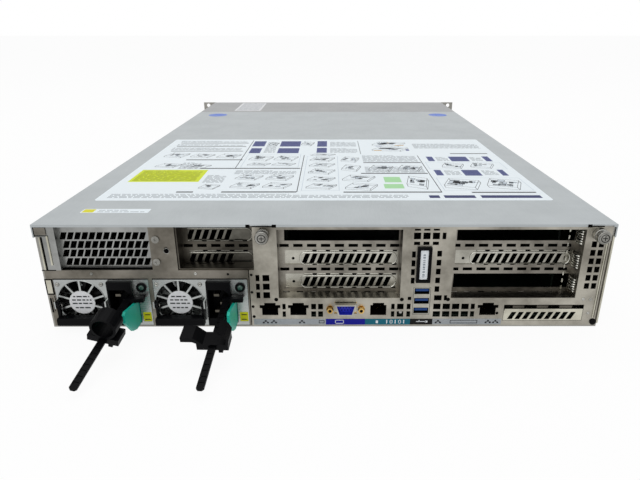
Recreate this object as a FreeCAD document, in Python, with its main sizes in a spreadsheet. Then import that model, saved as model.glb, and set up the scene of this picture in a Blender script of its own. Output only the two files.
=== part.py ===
"""A 2U rack server as separate pieces, in millimetres.

X runs to the right as seen from the rear, Y from the rear panel to the front, Z up.
The origin is the middle of the chassis floor's underside.
"""
import FreeCAD, Part
import math
import os
import Sketcher
from types import SimpleNamespace

os.makedirs("parts", exist_ok=True)
doc = FreeCAD.newDocument("RackServer")

SIZES = {
    # the whole server
    "body_width": 438,
    "body_depth": 710,
    "body_height": 87.3,
    "rack_width": 482.6,
    "hole_margin": 8.75,
    "hole_rise": 76.2,
    "ear_hole_radius": 3.5,
    "ear_thickness": 2,
    "ear_reach": 60,
    # sheet metal and clearances
    "metal": 1.2,
    "thin_metal": 1,
    "play": 0.3,
    "fold": 8,
    "cover_lip": 10.3,
    "cover_rear_lip": 2,
    "cover_seam": 581,
    # rear panel
    "shelf_height": 43.6,
    "shelf_rail": 6,
    "bay_floor": 25.5,
    "bay_recess": 15,
    "bridge": 2,
    "low_bay_left": -113,
    "low_bay_right": -54.5,
    "low_bay_floor": 50,
    "mid_bay_left": -36.3,
    "mid_bay_right": 59,
    "right_bay_left": 99,
    "right_bay_right": 197,
    "thumbscrew_left": -46.5,
    "thumbscrew_right": 206.5,
    "thumbscrew_height": 79.4,
    "thumbscrew_notch": 9.6,
    "thumbscrew_radius": 5.2,
    "thumbscrew_length": 10,
    "thumbscrew_shank": 2,
    # slots and their fillers
    "slot_pitch": 20.32,
    "slot_base": 33.7,
    "slot_high": 12.2,
    "slot_side": 4.4,
    "slot_end": 1,
    "slit_high": 2.6,
    "slit_wide": 7.4,
    "slit_pitch": 10.9,
    "slit_start": 0.4,
    "ledge_slit": 2.4,
    "filler_high": 17,
    "vent_start": 17.6,
    "vent_start_low": 3,
    "vent_slant": 3.2,
    "vent_wide": 3.9,
    "vent_pitch": 5.9,
    "vent_high": 8,
    "vent_drop": 1.2,
    "tab_hole": 11,
    "tab_hole_radius": 1.2,
    # slanted grille over the power supplies
    "grille_left": -204,
    "grille_right": -132.5,
    "grille_recess": 5,
    "grille_pitch": 5.48,
    "grille_row": 7.1,
    "grille_wide": 4.3,
    "grille_high": 5.9,
    "grille_slant": 2.2,
    "grille_start": 1.6,
    "grille_floor": 51.9,
    # ports
    "board_top": 10,
    "board_thickness": 1.6,
    "jack_wide": 12.2,
    "jack_body": 6.3,
    "jack_floor": 10.6,
    "jack_ear": 1.8,
    "jack_step": 2.1,
    "jack_notch": 1.9,
    "jack_wall": 3.2,
    "jack_depth": 21,
    "usb_left": 69.7,
    "usb_wide": 13,
    "usb_high": 6.3,
    "usb_pitch": 8.5,
    "usb_floor": 11.2,
    "vga_middle": 16.3,
    "vga_height": 16.8,
    "vga_wide": 16.6,
    "vga_high": 9.6,
    "vga_post_span": 24.7,
    "module_left": 142,
    "module_right": 205.4,
    "module_floor": 5.2,
    "module_top": 19.4,
    "module_face": 8.8,
    "module_depth": 18,
    "tag_left": 70.6,
    "tag_wide": 11,
    "tag_floor": 39.6,
    "tag_high": 29.4,
    "tag_frame": 2.2,
    "tag_out": 2.4,
    # power supplies
    "supply_left": -211,
    "supply_pitch": 77,
    "supply_width": 73.5,
    "supply_high": 40,
    "supply_depth": 185,
    "supply_floor": 1.6,
    "fan_middle": 19.5,
    "fan_height": 20.3,
    "fan_radius": 18.7,
    "guard_hub": 10.2,
    "spoke_wide": 1.5,
    "rotor_radius": 17.6,
    "rotor_hub": 9,
    "rotor_depth": 12,
    "shaft_radius": 2,
    "inlet_left": 41.5,
    "inlet_right": 60.5,
    "inlet_proud": 3,
    "inlet_depth": 19,
    "inlet_mouth_wide": 16.6,
    "inlet_mouth_high": 24.6,
    "inlet_mouth_deep": 16,
    "latch_root": 62.2,
    "latch_thickness": 2,
    "latch_reach": 31,
    "latch_rise": 4.6,
    "latch_floor": 2.6,
    "latch_top": 22.4,
    "latch_pivot": 6,
    "latch_barrel": 2.2,
    "handle_height": 20.5,
    "handle_arm": 2,
    "handle_out": 3.3,
    "handle_thickness": 2.6,
    "handle_eye": 2.4,
    "grip_floor": 3.2,
    "grip_high": 6.8,
    "grip_out": 9,
    "pin_radius": 1.25,
    "running": 0.05,
    # cord ties and clips
    "tie_anchor": 67.7,
    "tie_across": 57.3,
    "tie_height": 25.2,
    "tie_out": 5,
    "tie_stem": 3.2,
    "tie_wide": 5.3,
    "tie_thickness": 1.6,
    "tie_length": 89,
    "tie_droop": 12.8,
    "tie_yaw_first": 5.6,
    "tie_yaw_second": 2.2,
    "tie_roll_first": 14,
    "tie_rib": 5.2,
    "clip_along_first": 42,
    "clip_along_second": 49,
    "clip_length": 13,
    "clip_wide": 22.6,
    "clip_base": 1.8,
    "clip_ring": 9.6,
    "clip_wall": 1.9,
    # inside
    "cooling_pitch": 104,
    "cooling_from_rear": 500,
    "cooling_wide": 80,
    "cooling_depth": 38,
    "cooling_bore": 37.5,
    "cooling_blade": 36,
    "cooling_hub": 17,
    "cage_depth": 130,
    "cage_top": 83.8,
    "bay_start": -215,
    "bay_module": 134,
    "carrier_pitch": 16.5,
    "carrier_width": 15.9,
    "carrier_floor": 4,
    "carrier_high": 76,
    "carrier_depth": 108,
    "carrier_face": 8,
    "carrier_inset": 6,
    "lever_thickness": 3,
    "lever_width": 11,
    "lever_eye": 2.2,
    "button_radius": 3.6,
    "button_length": 8,
    "button_travel": 1.2,
}


class Size:
    """A number together with the sheet expression that gives it."""

    def __init__(self, value, text):
        self.value = value
        self.text = text

    def __add__(self, other):
        other = sized(other)
        return Size(self.value + other.value, f"({self.text} + {other.text})")

    def __sub__(self, other):
        other = sized(other)
        return Size(self.value - other.value, f"({self.text} - {other.text})")

    def __mul__(self, other):
        other = sized(other)
        return Size(self.value * other.value, f"({self.text} * {other.text})")

    def __truediv__(self, other):
        other = sized(other)
        return Size(self.value / other.value, f"({self.text} / {other.text})")

    def __neg__(self):
        return self * -1

    def __radd__(self, other):
        return sized(other) + self

    def __rsub__(self, other):
        return sized(other) - self

    def __rmul__(self, other):
        return sized(other) * self


def sized(value):
    """The value as a Size, whether it is one or a bare number."""
    if isinstance(value, Size):
        return value
    return Size(value, f"({value})")


def fill_sheet():
    """Puts every driving dimension into the spreadsheet under its alias."""
    sheet = doc.addObject("Spreadsheet::Sheet", "Sizes")
    named = SimpleNamespace()
    for row, (alias, value) in enumerate(SIZES.items(), start=1):
        sheet.set(f"A{row}", alias)
        sheet.set(f"B{row}", str(value))
        sheet.setAlias(f"B{row}", alias)
    doc.recompute()
    for alias in SIZES:
        setattr(named, alias, Size(float(getattr(sheet, alias)), f"Sizes.{alias}"))
    return named


S = fill_sheet()
nodes = {}

# planes that several pieces share
half = S.body_width / 2
rear = -S.body_depth / 2
front = S.body_depth / 2
side = half - S.thin_metal - S.play
inner = side - S.metal
roof = S.body_height - S.thin_metal
wall_top = roof - S.play
panel_top = wall_top - S.metal
panel_y = rear + S.thin_metal + S.play
bay_y = panel_y + S.bay_recess
seam = rear + S.cover_seam


# ---------------------------------------------------------------- drawing helpers

PLANES = {"rear": "XZ_Plane", "top": "XY_Plane", "side": "YZ_Plane"}


def rect(low_x, low_y, high_x, high_y):
    """A rectangle between two corners."""
    return "outline", [(low_x, low_y), (high_x, low_y), (high_x, high_y), (low_x, high_y)]


def shape(*points):
    """A closed outline through points."""
    return "outline", list(points)


def disc(across, up, radius):
    """A circle."""
    return "circle", (across, up, radius)


def ring_of(sides, radius):
    """A regular outline round the sketch's origin, its corners at the radius."""
    turns = [2 * math.pi * number / sides for number in range(sides)]
    return shape(*((radius * math.cos(turn), radius * math.sin(turn)) for turn in turns))


def hold(kind, index, point, distance):
    """A constraint from the sketch origin, with its distance."""
    return Sketcher.Constraint(kind, -1, 1, index, point, sized(distance).value), sized(distance)


def apply(drawing, held, free):
    """Adds the constraints at once and binds the held ones to the sheet."""
    numbers = drawing.addConstraint([item for item, _ in held] + free)
    for number, (_, distance) in zip(numbers, held):
        drawing.setExpression(f"Constraints[{number}]", distance.text)


def vector(across, up):
    """A sketch point."""
    return FreeCAD.Vector(sized(across).value, sized(up).value, 0)


def draw_outline(drawing, points):
    """Straight lines through the points, each corner held to the sheet."""
    first = drawing.GeometryCount
    count = len(points)
    corners = [vector(*point) for point in points]
    lines = [Part.LineSegment(corners[i], corners[(i + 1) % count]) for i in range(count)]
    drawing.addGeometry(lines, False)
    free = []
    held = []
    for i, (across, up) in enumerate(points):
        after = first + (i + 1) % count
        free.append(Sketcher.Constraint("Coincident", first + i, 2, after, 1))
        held.append(hold("DistanceX", first + i, 1, across))
        held.append(hold("DistanceY", first + i, 1, up))
    apply(drawing, held, free)


def draw_circle(drawing, circle):
    """A circle held by its centre and radius."""
    across, up, radius = circle
    index = drawing.GeometryCount
    centre = vector(across, up)
    up_axis = FreeCAD.Vector(0, 0, 1)
    drawing.addGeometry(Part.Circle(centre, up_axis, sized(radius).value), False)
    size = sized(radius)
    held = [
        hold("DistanceX", index, 3, across),
        hold("DistanceY", index, 3, up),
        (Sketcher.Constraint("Radius", index, size.value), size),
    ]
    apply(drawing, held, [])


DRAW = {"outline": draw_outline, "circle": draw_circle}


def sketch(owner, plane, start, figures, centre):
    """A sketch on one of the body's own planes, moved out to start, with its origin at centre."""
    drawing = owner.newObject("Sketcher::SketchObject", owner.Name + "Sketch")
    for feature in owner.Origin.OriginFeatures:
        if feature.Role == PLANES[plane]:
            drawing.AttachmentSupport = [(feature, "")]
    drawing.MapMode = "FlatFace"
    offset = -sized(start) if plane == "rear" else sized(start)
    drawing.setExpression("AttachmentOffset.Base.x", sized(centre[0]).text)
    drawing.setExpression("AttachmentOffset.Base.y", sized(centre[1]).text)
    drawing.setExpression("AttachmentOffset.Base.z", offset.text)
    for kind, figure in figures:
        DRAW[kind](drawing, figure)
    return drawing


def new_body(name):
    """An empty PartDesign body."""
    return doc.addObject("PartDesign::Body", name)


def extrude(owner, plane, start, depth, figures, centre=(0, 0)):
    """Pads the figures from start along the plane's positive axis."""
    drawing = sketch(owner, plane, start, figures, centre)
    feature = owner.newObject("PartDesign::Pad", owner.Name + "Pad")
    feature.Profile = drawing
    feature.Reversed = plane == "rear"
    feature.setExpression("Length", sized(depth).text)
    return feature


def carve(owner, plane, start, depth, figures, centre=(0, 0)):
    """Pockets the figures from start along the plane's positive axis."""
    drawing = sketch(owner, plane, start, figures, centre)
    feature = owner.newObject("PartDesign::Pocket", owner.Name + "Pocket")
    feature.Profile = drawing
    feature.Reversed = plane != "rear"
    feature.Refine = False
    feature.setExpression("Length", sized(depth).text)
    return feature


def line_pattern(owner, axis, drawing, count, pitch):
    """One straight run of copies along a sketch axis."""
    run = owner.newObject("PartDesign::LinearPattern", owner.Name + "Run")
    run.Direction = (drawing, [axis])
    run.Occurrences = count
    run.setExpression("Length", (pitch * (count - 1)).text)
    return run


def repeat(owner, feature, columns, across, rows=1, up=None):
    """Copies a feature in columns and rows along its sketch's axes."""
    if columns * rows == 1:
        return feature
    drawing = feature.Profile[0]
    grid = owner.newObject("PartDesign::MultiTransform", owner.Name + "Grid")
    grid.Originals = [feature]
    grid.Refine = False
    runs = []
    if columns > 1:
        runs.append(line_pattern(owner, "H_Axis", drawing, columns, across))
    if rows > 1:
        runs.append(line_pattern(owner, "V_Axis", drawing, rows, up))
    grid.Transformations = runs
    owner.Tip = grid
    return grid


def around(owner, feature, count):
    """Copies a feature round its sketch's origin."""
    ring = owner.newObject("PartDesign::PolarPattern", owner.Name + "Ring")
    ring.Originals = [feature]
    ring.Axis = (feature.Profile[0], ["N_Axis"])
    ring.Occurrences = count
    ring.Angle = 360
    owner.Tip = ring
    return ring


def block(x, y, z, name="Block"):
    """A Part box between (low, high) pairs."""
    solid = doc.addObject("Part::Box", name)
    for length, axis, (low, high) in zip(("Length", "Width", "Height"), "xyz", (x, y, z)):
        solid.setExpression(length, (sized(high) - low).text)
        solid.setExpression("Placement.Base." + axis, sized(low).text)
    return solid


TURNS = {
    "x": FreeCAD.Rotation(FreeCAD.Vector(0, 1, 0), 90),
    "y": FreeCAD.Rotation(FreeCAD.Vector(1, 0, 0), -90),
    "z": FreeCAD.Rotation(),
}


def rod(axis, start, radius, length, name="Rod"):
    """A Part cylinder from start along the positive axis."""
    solid = doc.addObject("Part::Cylinder", name)
    solid.Placement = FreeCAD.Placement(FreeCAD.Vector(), TURNS[axis])
    solid.setExpression("Radius", sized(radius).text)
    solid.setExpression("Height", sized(length).text)
    for letter, place in zip("xyz", start):
        solid.setExpression("Placement.Base." + letter, sized(place).text)
    return solid


def join(*solids):
    """One solid from several."""
    fused = doc.addObject("Part::MultiFuse", "Joined")
    fused.Shapes = list(solids)
    return fused


def cut(base, *tools):
    """The base less its tools."""
    result = doc.addObject("Part::Cut", "Cut")
    result.Base = base
    result.Tool = join(*tools) if len(tools) > 1 else tools[0]
    return result


def group(*solids):
    """Separate solids that share a node."""
    pieces = doc.addObject("Part::Compound", "Group")
    pieces.Links = list(solids)
    return pieces


def node(name, thing):
    """Names a finished sub-part."""
    thing.Label = name
    nodes[name] = thing
    return thing


# ---------------------------------------------------------------- chassis and covers


def chassis_tray():
    """Floor and side walls folded from one sheet, with inward flanges at the top."""
    tray = new_body("chassis_tray")
    lip = side - S.fold
    extrude(tray, "rear", panel_y, S.body_depth - S.thin_metal - S.play - S.ear_thickness, [shape(
        (-side, 0), (side, 0), (side, wall_top), (lip, wall_top), (lip, wall_top - S.metal),
        (inner, wall_top - S.metal), (inner, S.metal), (-inner, S.metal),
        (-inner, wall_top - S.metal), (-lip, wall_top - S.metal), (-lip, wall_top),
        (-side, wall_top),
    )])
    node("chassis_tray", tray)


def cover(name, start, end, with_lip):
    """A flat top with folded side lips, and a short lip at the rear of the sliding one."""
    lid = new_body(name)
    lip = S.body_height - S.cover_lip
    inside = half - S.thin_metal
    extrude(lid, "rear", start, end - start, [shape(
        (-half, lip), (-inside, lip), (-inside, roof), (inside, roof), (inside, lip),
        (half, lip), (half, S.body_height), (-half, S.body_height),
    )])
    if with_lip:
        low = S.body_height - S.cover_rear_lip
        extrude(lid, "rear", start, S.thin_metal, [rect(-half, low, half, S.body_height)])
        carve(lid, "rear", start - 1, S.thin_metal + 1, [
            rect(middle - S.thumbscrew_notch, low - 1, middle + S.thumbscrew_notch, roof)
            for middle in (S.thumbscrew_left, S.thumbscrew_right)])
    node(name, lid)


def rack_ears():
    """Two angle brackets that bolt to the rack, with their holes."""
    ears = []
    for sign in (-1, 1):
        ear = new_body("ear")
        outer = S.rack_width / 2 * sign
        skin = (side + S.thin_metal) * sign
        low = front - S.ear_reach
        points = [
            (side * sign, low), (skin, low), (skin, front - S.ear_thickness),
            (outer, front - S.ear_thickness), (outer, front), (side * sign, front),
        ]
        if sign < 0:
            points.reverse()
        extrude(ear, "top", 0, S.body_height - S.cover_lip - S.play, [shape(*points)])
        middle = (S.rack_width / 2 - S.hole_margin) * sign
        height = S.body_height / 2 - S.hole_rise / 2
        holes = [disc(middle, height, S.ear_hole_radius)]
        extrude(ear, "rear", front - S.ear_thickness, S.ear_thickness, [rect(
            (skin if sign > 0 else outer), 0, (outer if sign > 0 else skin), S.body_height)])
        hole = carve(ear, "rear", front - S.ear_thickness - 1, S.ear_thickness + 2, holes)
        repeat(ear, hole, 1, None, 2, S.hole_rise)
        ears.append(ear)
    node("rack_ears", group(*ears))


# ---------------------------------------------------------------- rear panel


def jack_outline(left, ears, margin):
    """The stepped opening of a modular jack, grown by a margin, with a lamp window each side."""
    low = S.jack_floor - margin
    right = left + S.jack_wide + margin
    left = left - margin
    ear = S.jack_ear if ears else 0
    ear_low = S.jack_floor + S.jack_body - margin
    ear_high = ear_low + S.jack_step + margin * 2
    high = ear_high + S.jack_notch
    return shape(
        (left, low), (right, low), (right, ear_low), (right + ear, ear_low),
        (right + ear, ear_high), (right - S.jack_notch, ear_high), (right - S.jack_notch, high),
        (left + S.jack_notch, high), (left + S.jack_notch, ear_high), (left - ear, ear_high),
        (left - ear, ear_low), (left, ear_low),
    ) if ears else shape(
        (left, low), (right, low), (right, ear_high), (right - S.jack_notch, ear_high),
        (right - S.jack_notch, high), (left + S.jack_notch, high),
        (left + S.jack_notch, ear_high), (left, ear_high),
    )


# left side of each jack, and whether it has lamp windows
JACKS = ((-49.7, True), (-27.3, True), (36.2, False), (123.2, True))


def rear_panel():
    """The rear wall right of the power supplies, with its bays and port cut-outs."""
    panel = new_body("rear_panel")
    left = S.supply_left + S.supply_pitch + S.supply_width + S.thin_metal + 1
    top = panel_top
    extrude(panel, "rear", panel_y, S.metal, [rect(left, S.metal, inner, top)])
    start = panel_y - 1
    deep = S.metal + 2
    bay_top = top - S.bridge
    carve(panel, "rear", start, deep, [
        rect(S.mid_bay_left, S.bay_floor, S.mid_bay_right, bay_top),
        rect(S.right_bay_left, S.bay_floor, S.right_bay_right, bay_top),
        rect(left - 1, S.shelf_height + S.shelf_rail, S.low_bay_right, top + 1),
        rect(S.module_left, S.module_floor, S.module_right, S.module_top),
    ])
    carve(panel, "rear", start, deep, [jack_outline(x, ears, S.play) for x, ears in JACKS])
    usb_top = S.usb_floor + S.usb_pitch * 2 + S.usb_high
    vga_low = S.vga_height - S.vga_high / 2 - 0.6
    carve(panel, "rear", start, deep, [
        rect(S.usb_left - 0.3, S.usb_floor - 0.3, S.usb_left + S.usb_wide + 0.3, usb_top + 0.3),
        rect(S.vga_middle - S.vga_wide / 2 - 0.6, vga_low,
             S.vga_middle + S.vga_wide / 2 + 0.6, vga_low + S.vga_high + 1.2),
        disc(S.vga_middle - S.vga_post_span / 2, S.vga_height - 1, 3),
        disc(S.vga_middle + S.vga_post_span / 2, S.vga_height - 1, 3),
    ])
    carve(panel, "rear", start, deep, [
        disc(S.thumbscrew_left, S.thumbscrew_height, S.thumbscrew_shank + S.running),
        disc(S.thumbscrew_right, S.thumbscrew_height, S.thumbscrew_shank + S.running),
    ])
    for x, z, wide, high, columns, across, rows, up in VENTS:
        hole = carve(panel, "rear", start, deep, [rect(x, z, x + wide, z + high)])
        repeat(panel, hole, columns, sized(across), rows, sized(up))
    node("rear_panel", panel)


# left, floor, width, height, columns, pitch, rows, pitch of the panel's square vents
VENTS = (
    (-53.8, 25.4, 3, 5.3, 1, 0, 3, 7.4),
    (-48.4, 25.4, 5.3, 5.3, 1, 0, 3, 7.4),
    (-33.8, 8.8, 2.6, 4.9, 1, 0, 2, 6.7),
    (-11, 8.8, 3.9, 4.9, 2, 5.5, 2, 6.7),
    (52.5, 8.8, 2.7, 4.9, 1, 0, 2, 6.7),
    (57.1, 8.8, 5.2, 4.9, 1, 0, 2, 6.7),
    (64.8, 8.8, 3, 4.9, 1, 0, 2, 6.7),
    (65.2, 23.6, 2.8, 3, 1, 0, 1, 0),
    (85.8, 8.8, 5.8, 4.9, 4, 7.45, 2, 6.7),
    (115.6, 8.8, 3.2, 4.9, 1, 0, 2, 6.7),
    (85.8, 30.9, 3.6, 4.8, 1, 0, 5, 7.5),
    (85.9, 23.4, 6, 4.5, 1, 0, 1, 0),
    (93.7, 23.4, 2.4, 4.5, 1, 0, 1, 0),
    (66.6, 45.3, 2.9, 5.1, 1, 0, 3, 7.4),
    (66.8, 38.1, 2.9, 5, 1, 0, 1, 0),
    (67.2, 75.1, 5.4, 5.3, 3, 7.1, 1, 0),
    (88.8, 75.1, 2.8, 5.3, 1, 0, 1, 0),
    (67.6, 70.4, 4.6, 2.7, 3, 7.1, 1, 0),
    (67.6, 82, 4.6, 1.5, 3, 7.1, 1, 0),
    (202.4, 33.4, 3.9, 4.9, 2, 5.5, 6, 7),
)


def psu_cage():
    """The shelf, divider and side walls that hold the two power supplies."""
    cage = new_body("psu_cage")
    left = S.supply_left - S.play - S.thin_metal
    wall = S.thin_metal
    right = S.supply_left + S.supply_pitch + S.supply_width + S.play
    floor = S.metal
    top = S.shelf_height
    gap_left = S.supply_left + S.supply_width + S.play
    gap_right = S.supply_left + S.supply_pitch - S.play
    extrude(cage, "rear", panel_y, S.supply_depth + 5, [shape(
        (left, floor), (left + wall, floor), (left + wall, top - wall), (gap_left, top - wall),
        (gap_left, floor), (gap_right, floor), (gap_right, top - wall), (right, top - wall),
        (right, floor), (right + wall, floor), (right + wall, top), (left, top),
    )])
    extrude(cage, "rear", panel_y, S.thin_metal, [rect(-inner, top - wall, right + wall, top + S.shelf_rail)])
    extrude(cage, "rear", panel_y, S.thin_metal, [rect(-inner, floor, left + wall, top)])
    carve(cage, "rear", panel_y - 1, S.thin_metal + 2, [
        rect(-inner + 1.4, 30, left - 0.9, 40),
        rect(-inner + 2, 14, left - 1.6, 26),
    ])
    node("psu_cage", cage)


def vent_panel():
    """The folded grille panel above the power supplies, with slanted holes."""
    panel = new_body("vent_panel")
    t = S.thin_metal
    y0 = panel_y
    y1 = panel_y + S.grille_recess
    left = S.grille_left
    right = S.grille_right
    edge = S.low_bay_left
    low = S.shelf_height + S.shelf_rail
    extrude(panel, "top", low, panel_top - low, [shape(
        (-inner, y0), (left + t, y0), (left + t, y1), (right, y1), (right, y0), (edge, y0),
        (edge, bay_y), (edge - t, bay_y), (edge - t, y0 + t), (right + t, y0 + t),
        (right + t, y1 + t), (left, y1 + t), (left, y0 + t), (-inner, y0 + t),
    )])
    for shift in (0, 1):
        x = left + S.grille_start + S.grille_pitch / 4 * (1 - shift)
        z = S.grille_floor + S.grille_row * shift
        lean = S.grille_slant
        hole = carve(panel, "rear", y1 - 1, t + 2, [shape(
            (x, z), (x + S.grille_wide, z),
            (x + S.grille_wide + lean, z + S.grille_high), (x + lean, z + S.grille_high),
        )])
        repeat(panel, hole, 12, S.grille_pitch, 2, S.grille_row * 2)
    carve(panel, "rear", y0 - 1, t + 2, [disc(edge - 7.5, (low + panel_top) / 2, 1.6)])
    node("vent_panel", panel)


def riser_bracket(name, left, right, low, top, slots, slits):
    """A recessed slot plate with folded sides and ledge; slots gives each slot's number."""
    bracket = new_body(name)
    t = S.thin_metal
    back = panel_y + S.metal
    reach = bay_y - back
    extrude(bracket, "rear", bay_y, t, [rect(left - t, low - t, right + t, top)])
    extrude(bracket, "rear", back, reach, [shape(
        (left - t, low - t), (right + t, low - t), (right + t, top), (right, top),
        (right, low), (left, low), (left, top), (left - t, top),
    )])
    openings = []
    for number in slots:
        middle = S.slot_base + S.slot_pitch * number
        high = middle + S.slot_high / 2
        openings.append(rect(left + S.slot_side, middle - S.slot_high / 2, right - S.slot_end, high))
    carve(bracket, "rear", bay_y - 1, t + 2, openings)
    first = slots[0]
    middle = S.slot_base + S.slot_pitch * first + S.slot_pitch / 2
    start = left + S.slit_start
    hole = carve(bracket, "rear", bay_y - 1, t + 2, [rect(
        start, middle - S.slit_high / 2, start + S.slit_wide, middle + S.slit_high / 2)])
    repeat(bracket, hole, slits, S.slit_pitch, len(slots) - 1, S.slot_pitch)
    foot = carve(bracket, "top", low - t - 1, t + 2, [rect(
        start + 2, bay_y - S.ledge_slit * 2, start + S.slit_wide, bay_y - S.ledge_slit)])
    repeat(bracket, foot, slits - 1, S.slit_pitch)
    node(name, bracket)


def riser_brackets():
    """The three slot plates."""
    top = panel_top - S.bridge
    riser_bracket("low_profile_riser_bracket",
                  S.low_bay_left + S.thin_metal + S.play, S.low_bay_right - S.play,
                  S.shelf_height + S.shelf_rail + S.thin_metal, panel_top, (1, 2), 5)
    riser_bracket("middle_riser_bracket", S.mid_bay_left, S.mid_bay_right,
                  S.bay_floor, top, (0, 1, 2), 9)
    riser_bracket("right_riser_bracket", S.right_bay_left, S.right_bay_right,
                  S.bay_floor, top, (0, 1, 2), 9)


def filler(left, right, number, start, vents, with_tab):
    """One slot filler behind its slot: a plate with slanted vents and a tab hole."""
    plate = new_body("filler")
    t = S.thin_metal
    y = bay_y + t
    middle = S.slot_base + S.slot_pitch * number
    low = middle - S.filler_high / 2
    extrude(plate, "rear", y, t, [rect(left + 1, low, right - 1, low + S.filler_high)])
    x = left + start
    z = middle - S.vent_high / 2 - S.vent_drop
    lean = S.vent_slant
    hole = carve(plate, "rear", y - 1, t + 2, [shape(
        (x, z), (x + S.vent_wide, z),
        (x + S.vent_wide + lean, z + S.vent_high), (x + lean, z + S.vent_high),
    )])
    repeat(plate, hole, vents, S.vent_pitch)
    if with_tab:
        carve(plate, "rear", y - 1, t + 2, [ring_of(12, S.tab_hole_radius)],
              (left + S.tab_hole, middle - S.vent_drop))
    return plate


def slot_fillers():
    """The five fillers: two low profile, two in the middle bay, one on the right."""
    low_left = S.low_bay_left + S.thin_metal + S.play
    low_right = S.low_bay_right - S.play
    node("slot_fillers", group(
        filler(low_left, low_right, 1, S.vent_start_low, 6, False),
        filler(low_left, low_right, 2, S.vent_start_low, 6, False),
        filler(S.mid_bay_left, S.mid_bay_right, 0, S.vent_start, 12, True),
        filler(S.mid_bay_left, S.mid_bay_right, 1, S.vent_start, 12, True),
        filler(S.right_bay_left, S.right_bay_right, 1, S.vent_start, 12, True),
    ))


def riser_cards():
    """One upright card behind each bracket, standing on the motherboard or the shelf."""
    t = S.board_thickness
    y = (bay_y + 20, bay_y + 150)
    top = panel_top - 6
    node("riser_cards", group(
        block((S.mid_bay_left + 4, S.mid_bay_left + 4 + t), y, (S.board_top, top)),
        block((S.right_bay_right - 4 - t, S.right_bay_right - 4), y, (S.board_top, top)),
        block((S.low_bay_left + 4, S.low_bay_left + 4 + t), y, (S.shelf_height, top)),
    ))


def io_module_filler():
    """The filler plate of the I/O module: a low face with slanted vents, and a shelf folded back."""
    plate = new_body("io_module_filler")
    t = S.thin_metal
    left = S.module_left + S.play
    right = S.module_right - S.play
    low = S.module_floor + S.play
    high = low + S.module_face
    extrude(plate, "rear", panel_y, t, [rect(left, low, right, high)])
    extrude(plate, "rear", panel_y, S.module_depth, [rect(left, high - t, right, high)])
    x = left + S.vent_slant
    top = high - t - S.play
    hole = carve(plate, "rear", panel_y - 1, t + 2, [shape(
        (x, low + t), (x + S.vent_wide, low + t),
        (x + S.vent_wide + S.vent_slant, top), (x + S.vent_slant, top),
    )])
    repeat(plate, hole, 9, S.vent_pitch)
    node("io_module_filler", plate)


def rj45_jacks():
    """Four jacks on the motherboard, each a shell with a stepped cavity."""
    jacks = []
    top = S.jack_floor + S.jack_body + S.jack_step + S.jack_notch + S.thin_metal
    for x, ears in JACKS:
        jack = new_body("jack")
        y = panel_y + S.metal
        wall = S.jack_wall
        extrude(jack, "rear", y, S.jack_depth, [rect(x - wall, S.board_top, x + S.jack_wide + wall, top)])
        carve(jack, "rear", y - 1, S.jack_depth - 3, [jack_outline(x, ears, 0)])
        jacks.append(jack)
    node("rj45_jacks", group(*jacks))


def usb_ports():
    """A stack of three USB ports, each a shell with its tongue."""
    shell = new_body("usb_ports")
    y = panel_y + 0.2
    left = S.usb_left
    right = S.usb_left + S.usb_wide
    top = S.usb_floor + S.usb_pitch * 2 + S.usb_high
    extrude(shell, "rear", y, 22, [rect(left, S.usb_floor, right, top)])
    extrude(shell, "rear", y + 4, 18, [rect(left, S.board_top, right, S.usb_floor)])
    mouth = carve(shell, "rear", y - 1, 15, [
        rect(left + 0.6, S.usb_floor + 0.6, right - 0.6, S.usb_floor + S.usb_high - 0.6),
        rect(left + 1.4, S.usb_floor + 3.2, right - 1.4, S.usb_floor + 5),
    ])
    repeat(shell, mouth, 1, None, 3, S.usb_pitch)
    node("usb_ports", shell)


def vga_port():
    """The display port: a D shell round its blue insert, two jack posts and a body."""
    port = new_body("vga_port")
    y = panel_y + S.metal
    middle = S.vga_middle
    wide = S.vga_wide / 2
    low = S.vga_height - S.vga_high / 2
    high = low + S.vga_high
    span = S.vga_post_span / 2
    extrude(port, "rear", y, 14, [rect(middle - span - 3, S.board_top, middle + span + 3, high + 1)])
    extrude(port, "rear", y - 6, 6, [shape(
        (middle - wide + 2.4, low), (middle + wide - 2.4, low),
        (middle + wide, high), (middle - wide, high))])
    carve(port, "rear", y - 7, 6, [shape(
        (middle - wide + 3.4, low + 1), (middle + wide - 3.4, low + 1),
        (middle + wide - 1.2, high - 1), (middle - wide + 1.2, high - 1))])
    for across in (middle - span, middle + span):
        extrude(port, "rear", y - 5, 5, [
            ring_of(6, 2.5), ring_of(6, 1.3)], (across, S.vga_height - 1))
    node("vga_port", port)


def tag_holder():
    """The pull-out tag frame between the middle and right bays."""
    holder = new_body("tag_holder")
    y = panel_y - S.tag_out
    left = S.tag_left
    right = left + S.tag_wide
    low = S.tag_floor
    high = low + S.tag_high
    rim = S.tag_frame
    extrude(holder, "rear", y, S.tag_out, [rect(left, low, right, high)])
    carve(holder, "rear", y - 1, S.tag_out - S.thin_metal + 1, [
        rect(left + rim, low + rim, right - rim, high - rim)])
    node("tag_holder", holder)


CROSS = (
    (-1.1, -0.3), (-0.3, -0.3), (-0.3, -1.1), (0.3, -1.1), (0.3, -0.3), (1.1, -0.3),
    (1.1, 0.3), (0.3, 0.3), (0.3, 1.1), (-0.3, 1.1), (-0.3, 0.3), (-1.1, 0.3),
)


def panel_screws():
    """The screws of the vent panel and of the low-profile bracket."""
    y = panel_y - 1.2
    places = ((-127.6, 75.2), (-128.6, 56.8))
    screws = []
    for x, z in places:
        screw = new_body("screw")
        extrude(screw, "rear", y, 1.2, [ring_of(16, 2.9)], (x, z))
        carve(screw, "rear", y - 1, 1.8, [shape(*CROSS)], (x, z))
        screws.append(screw)
    node("panel_screws", group(*screws))


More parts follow.
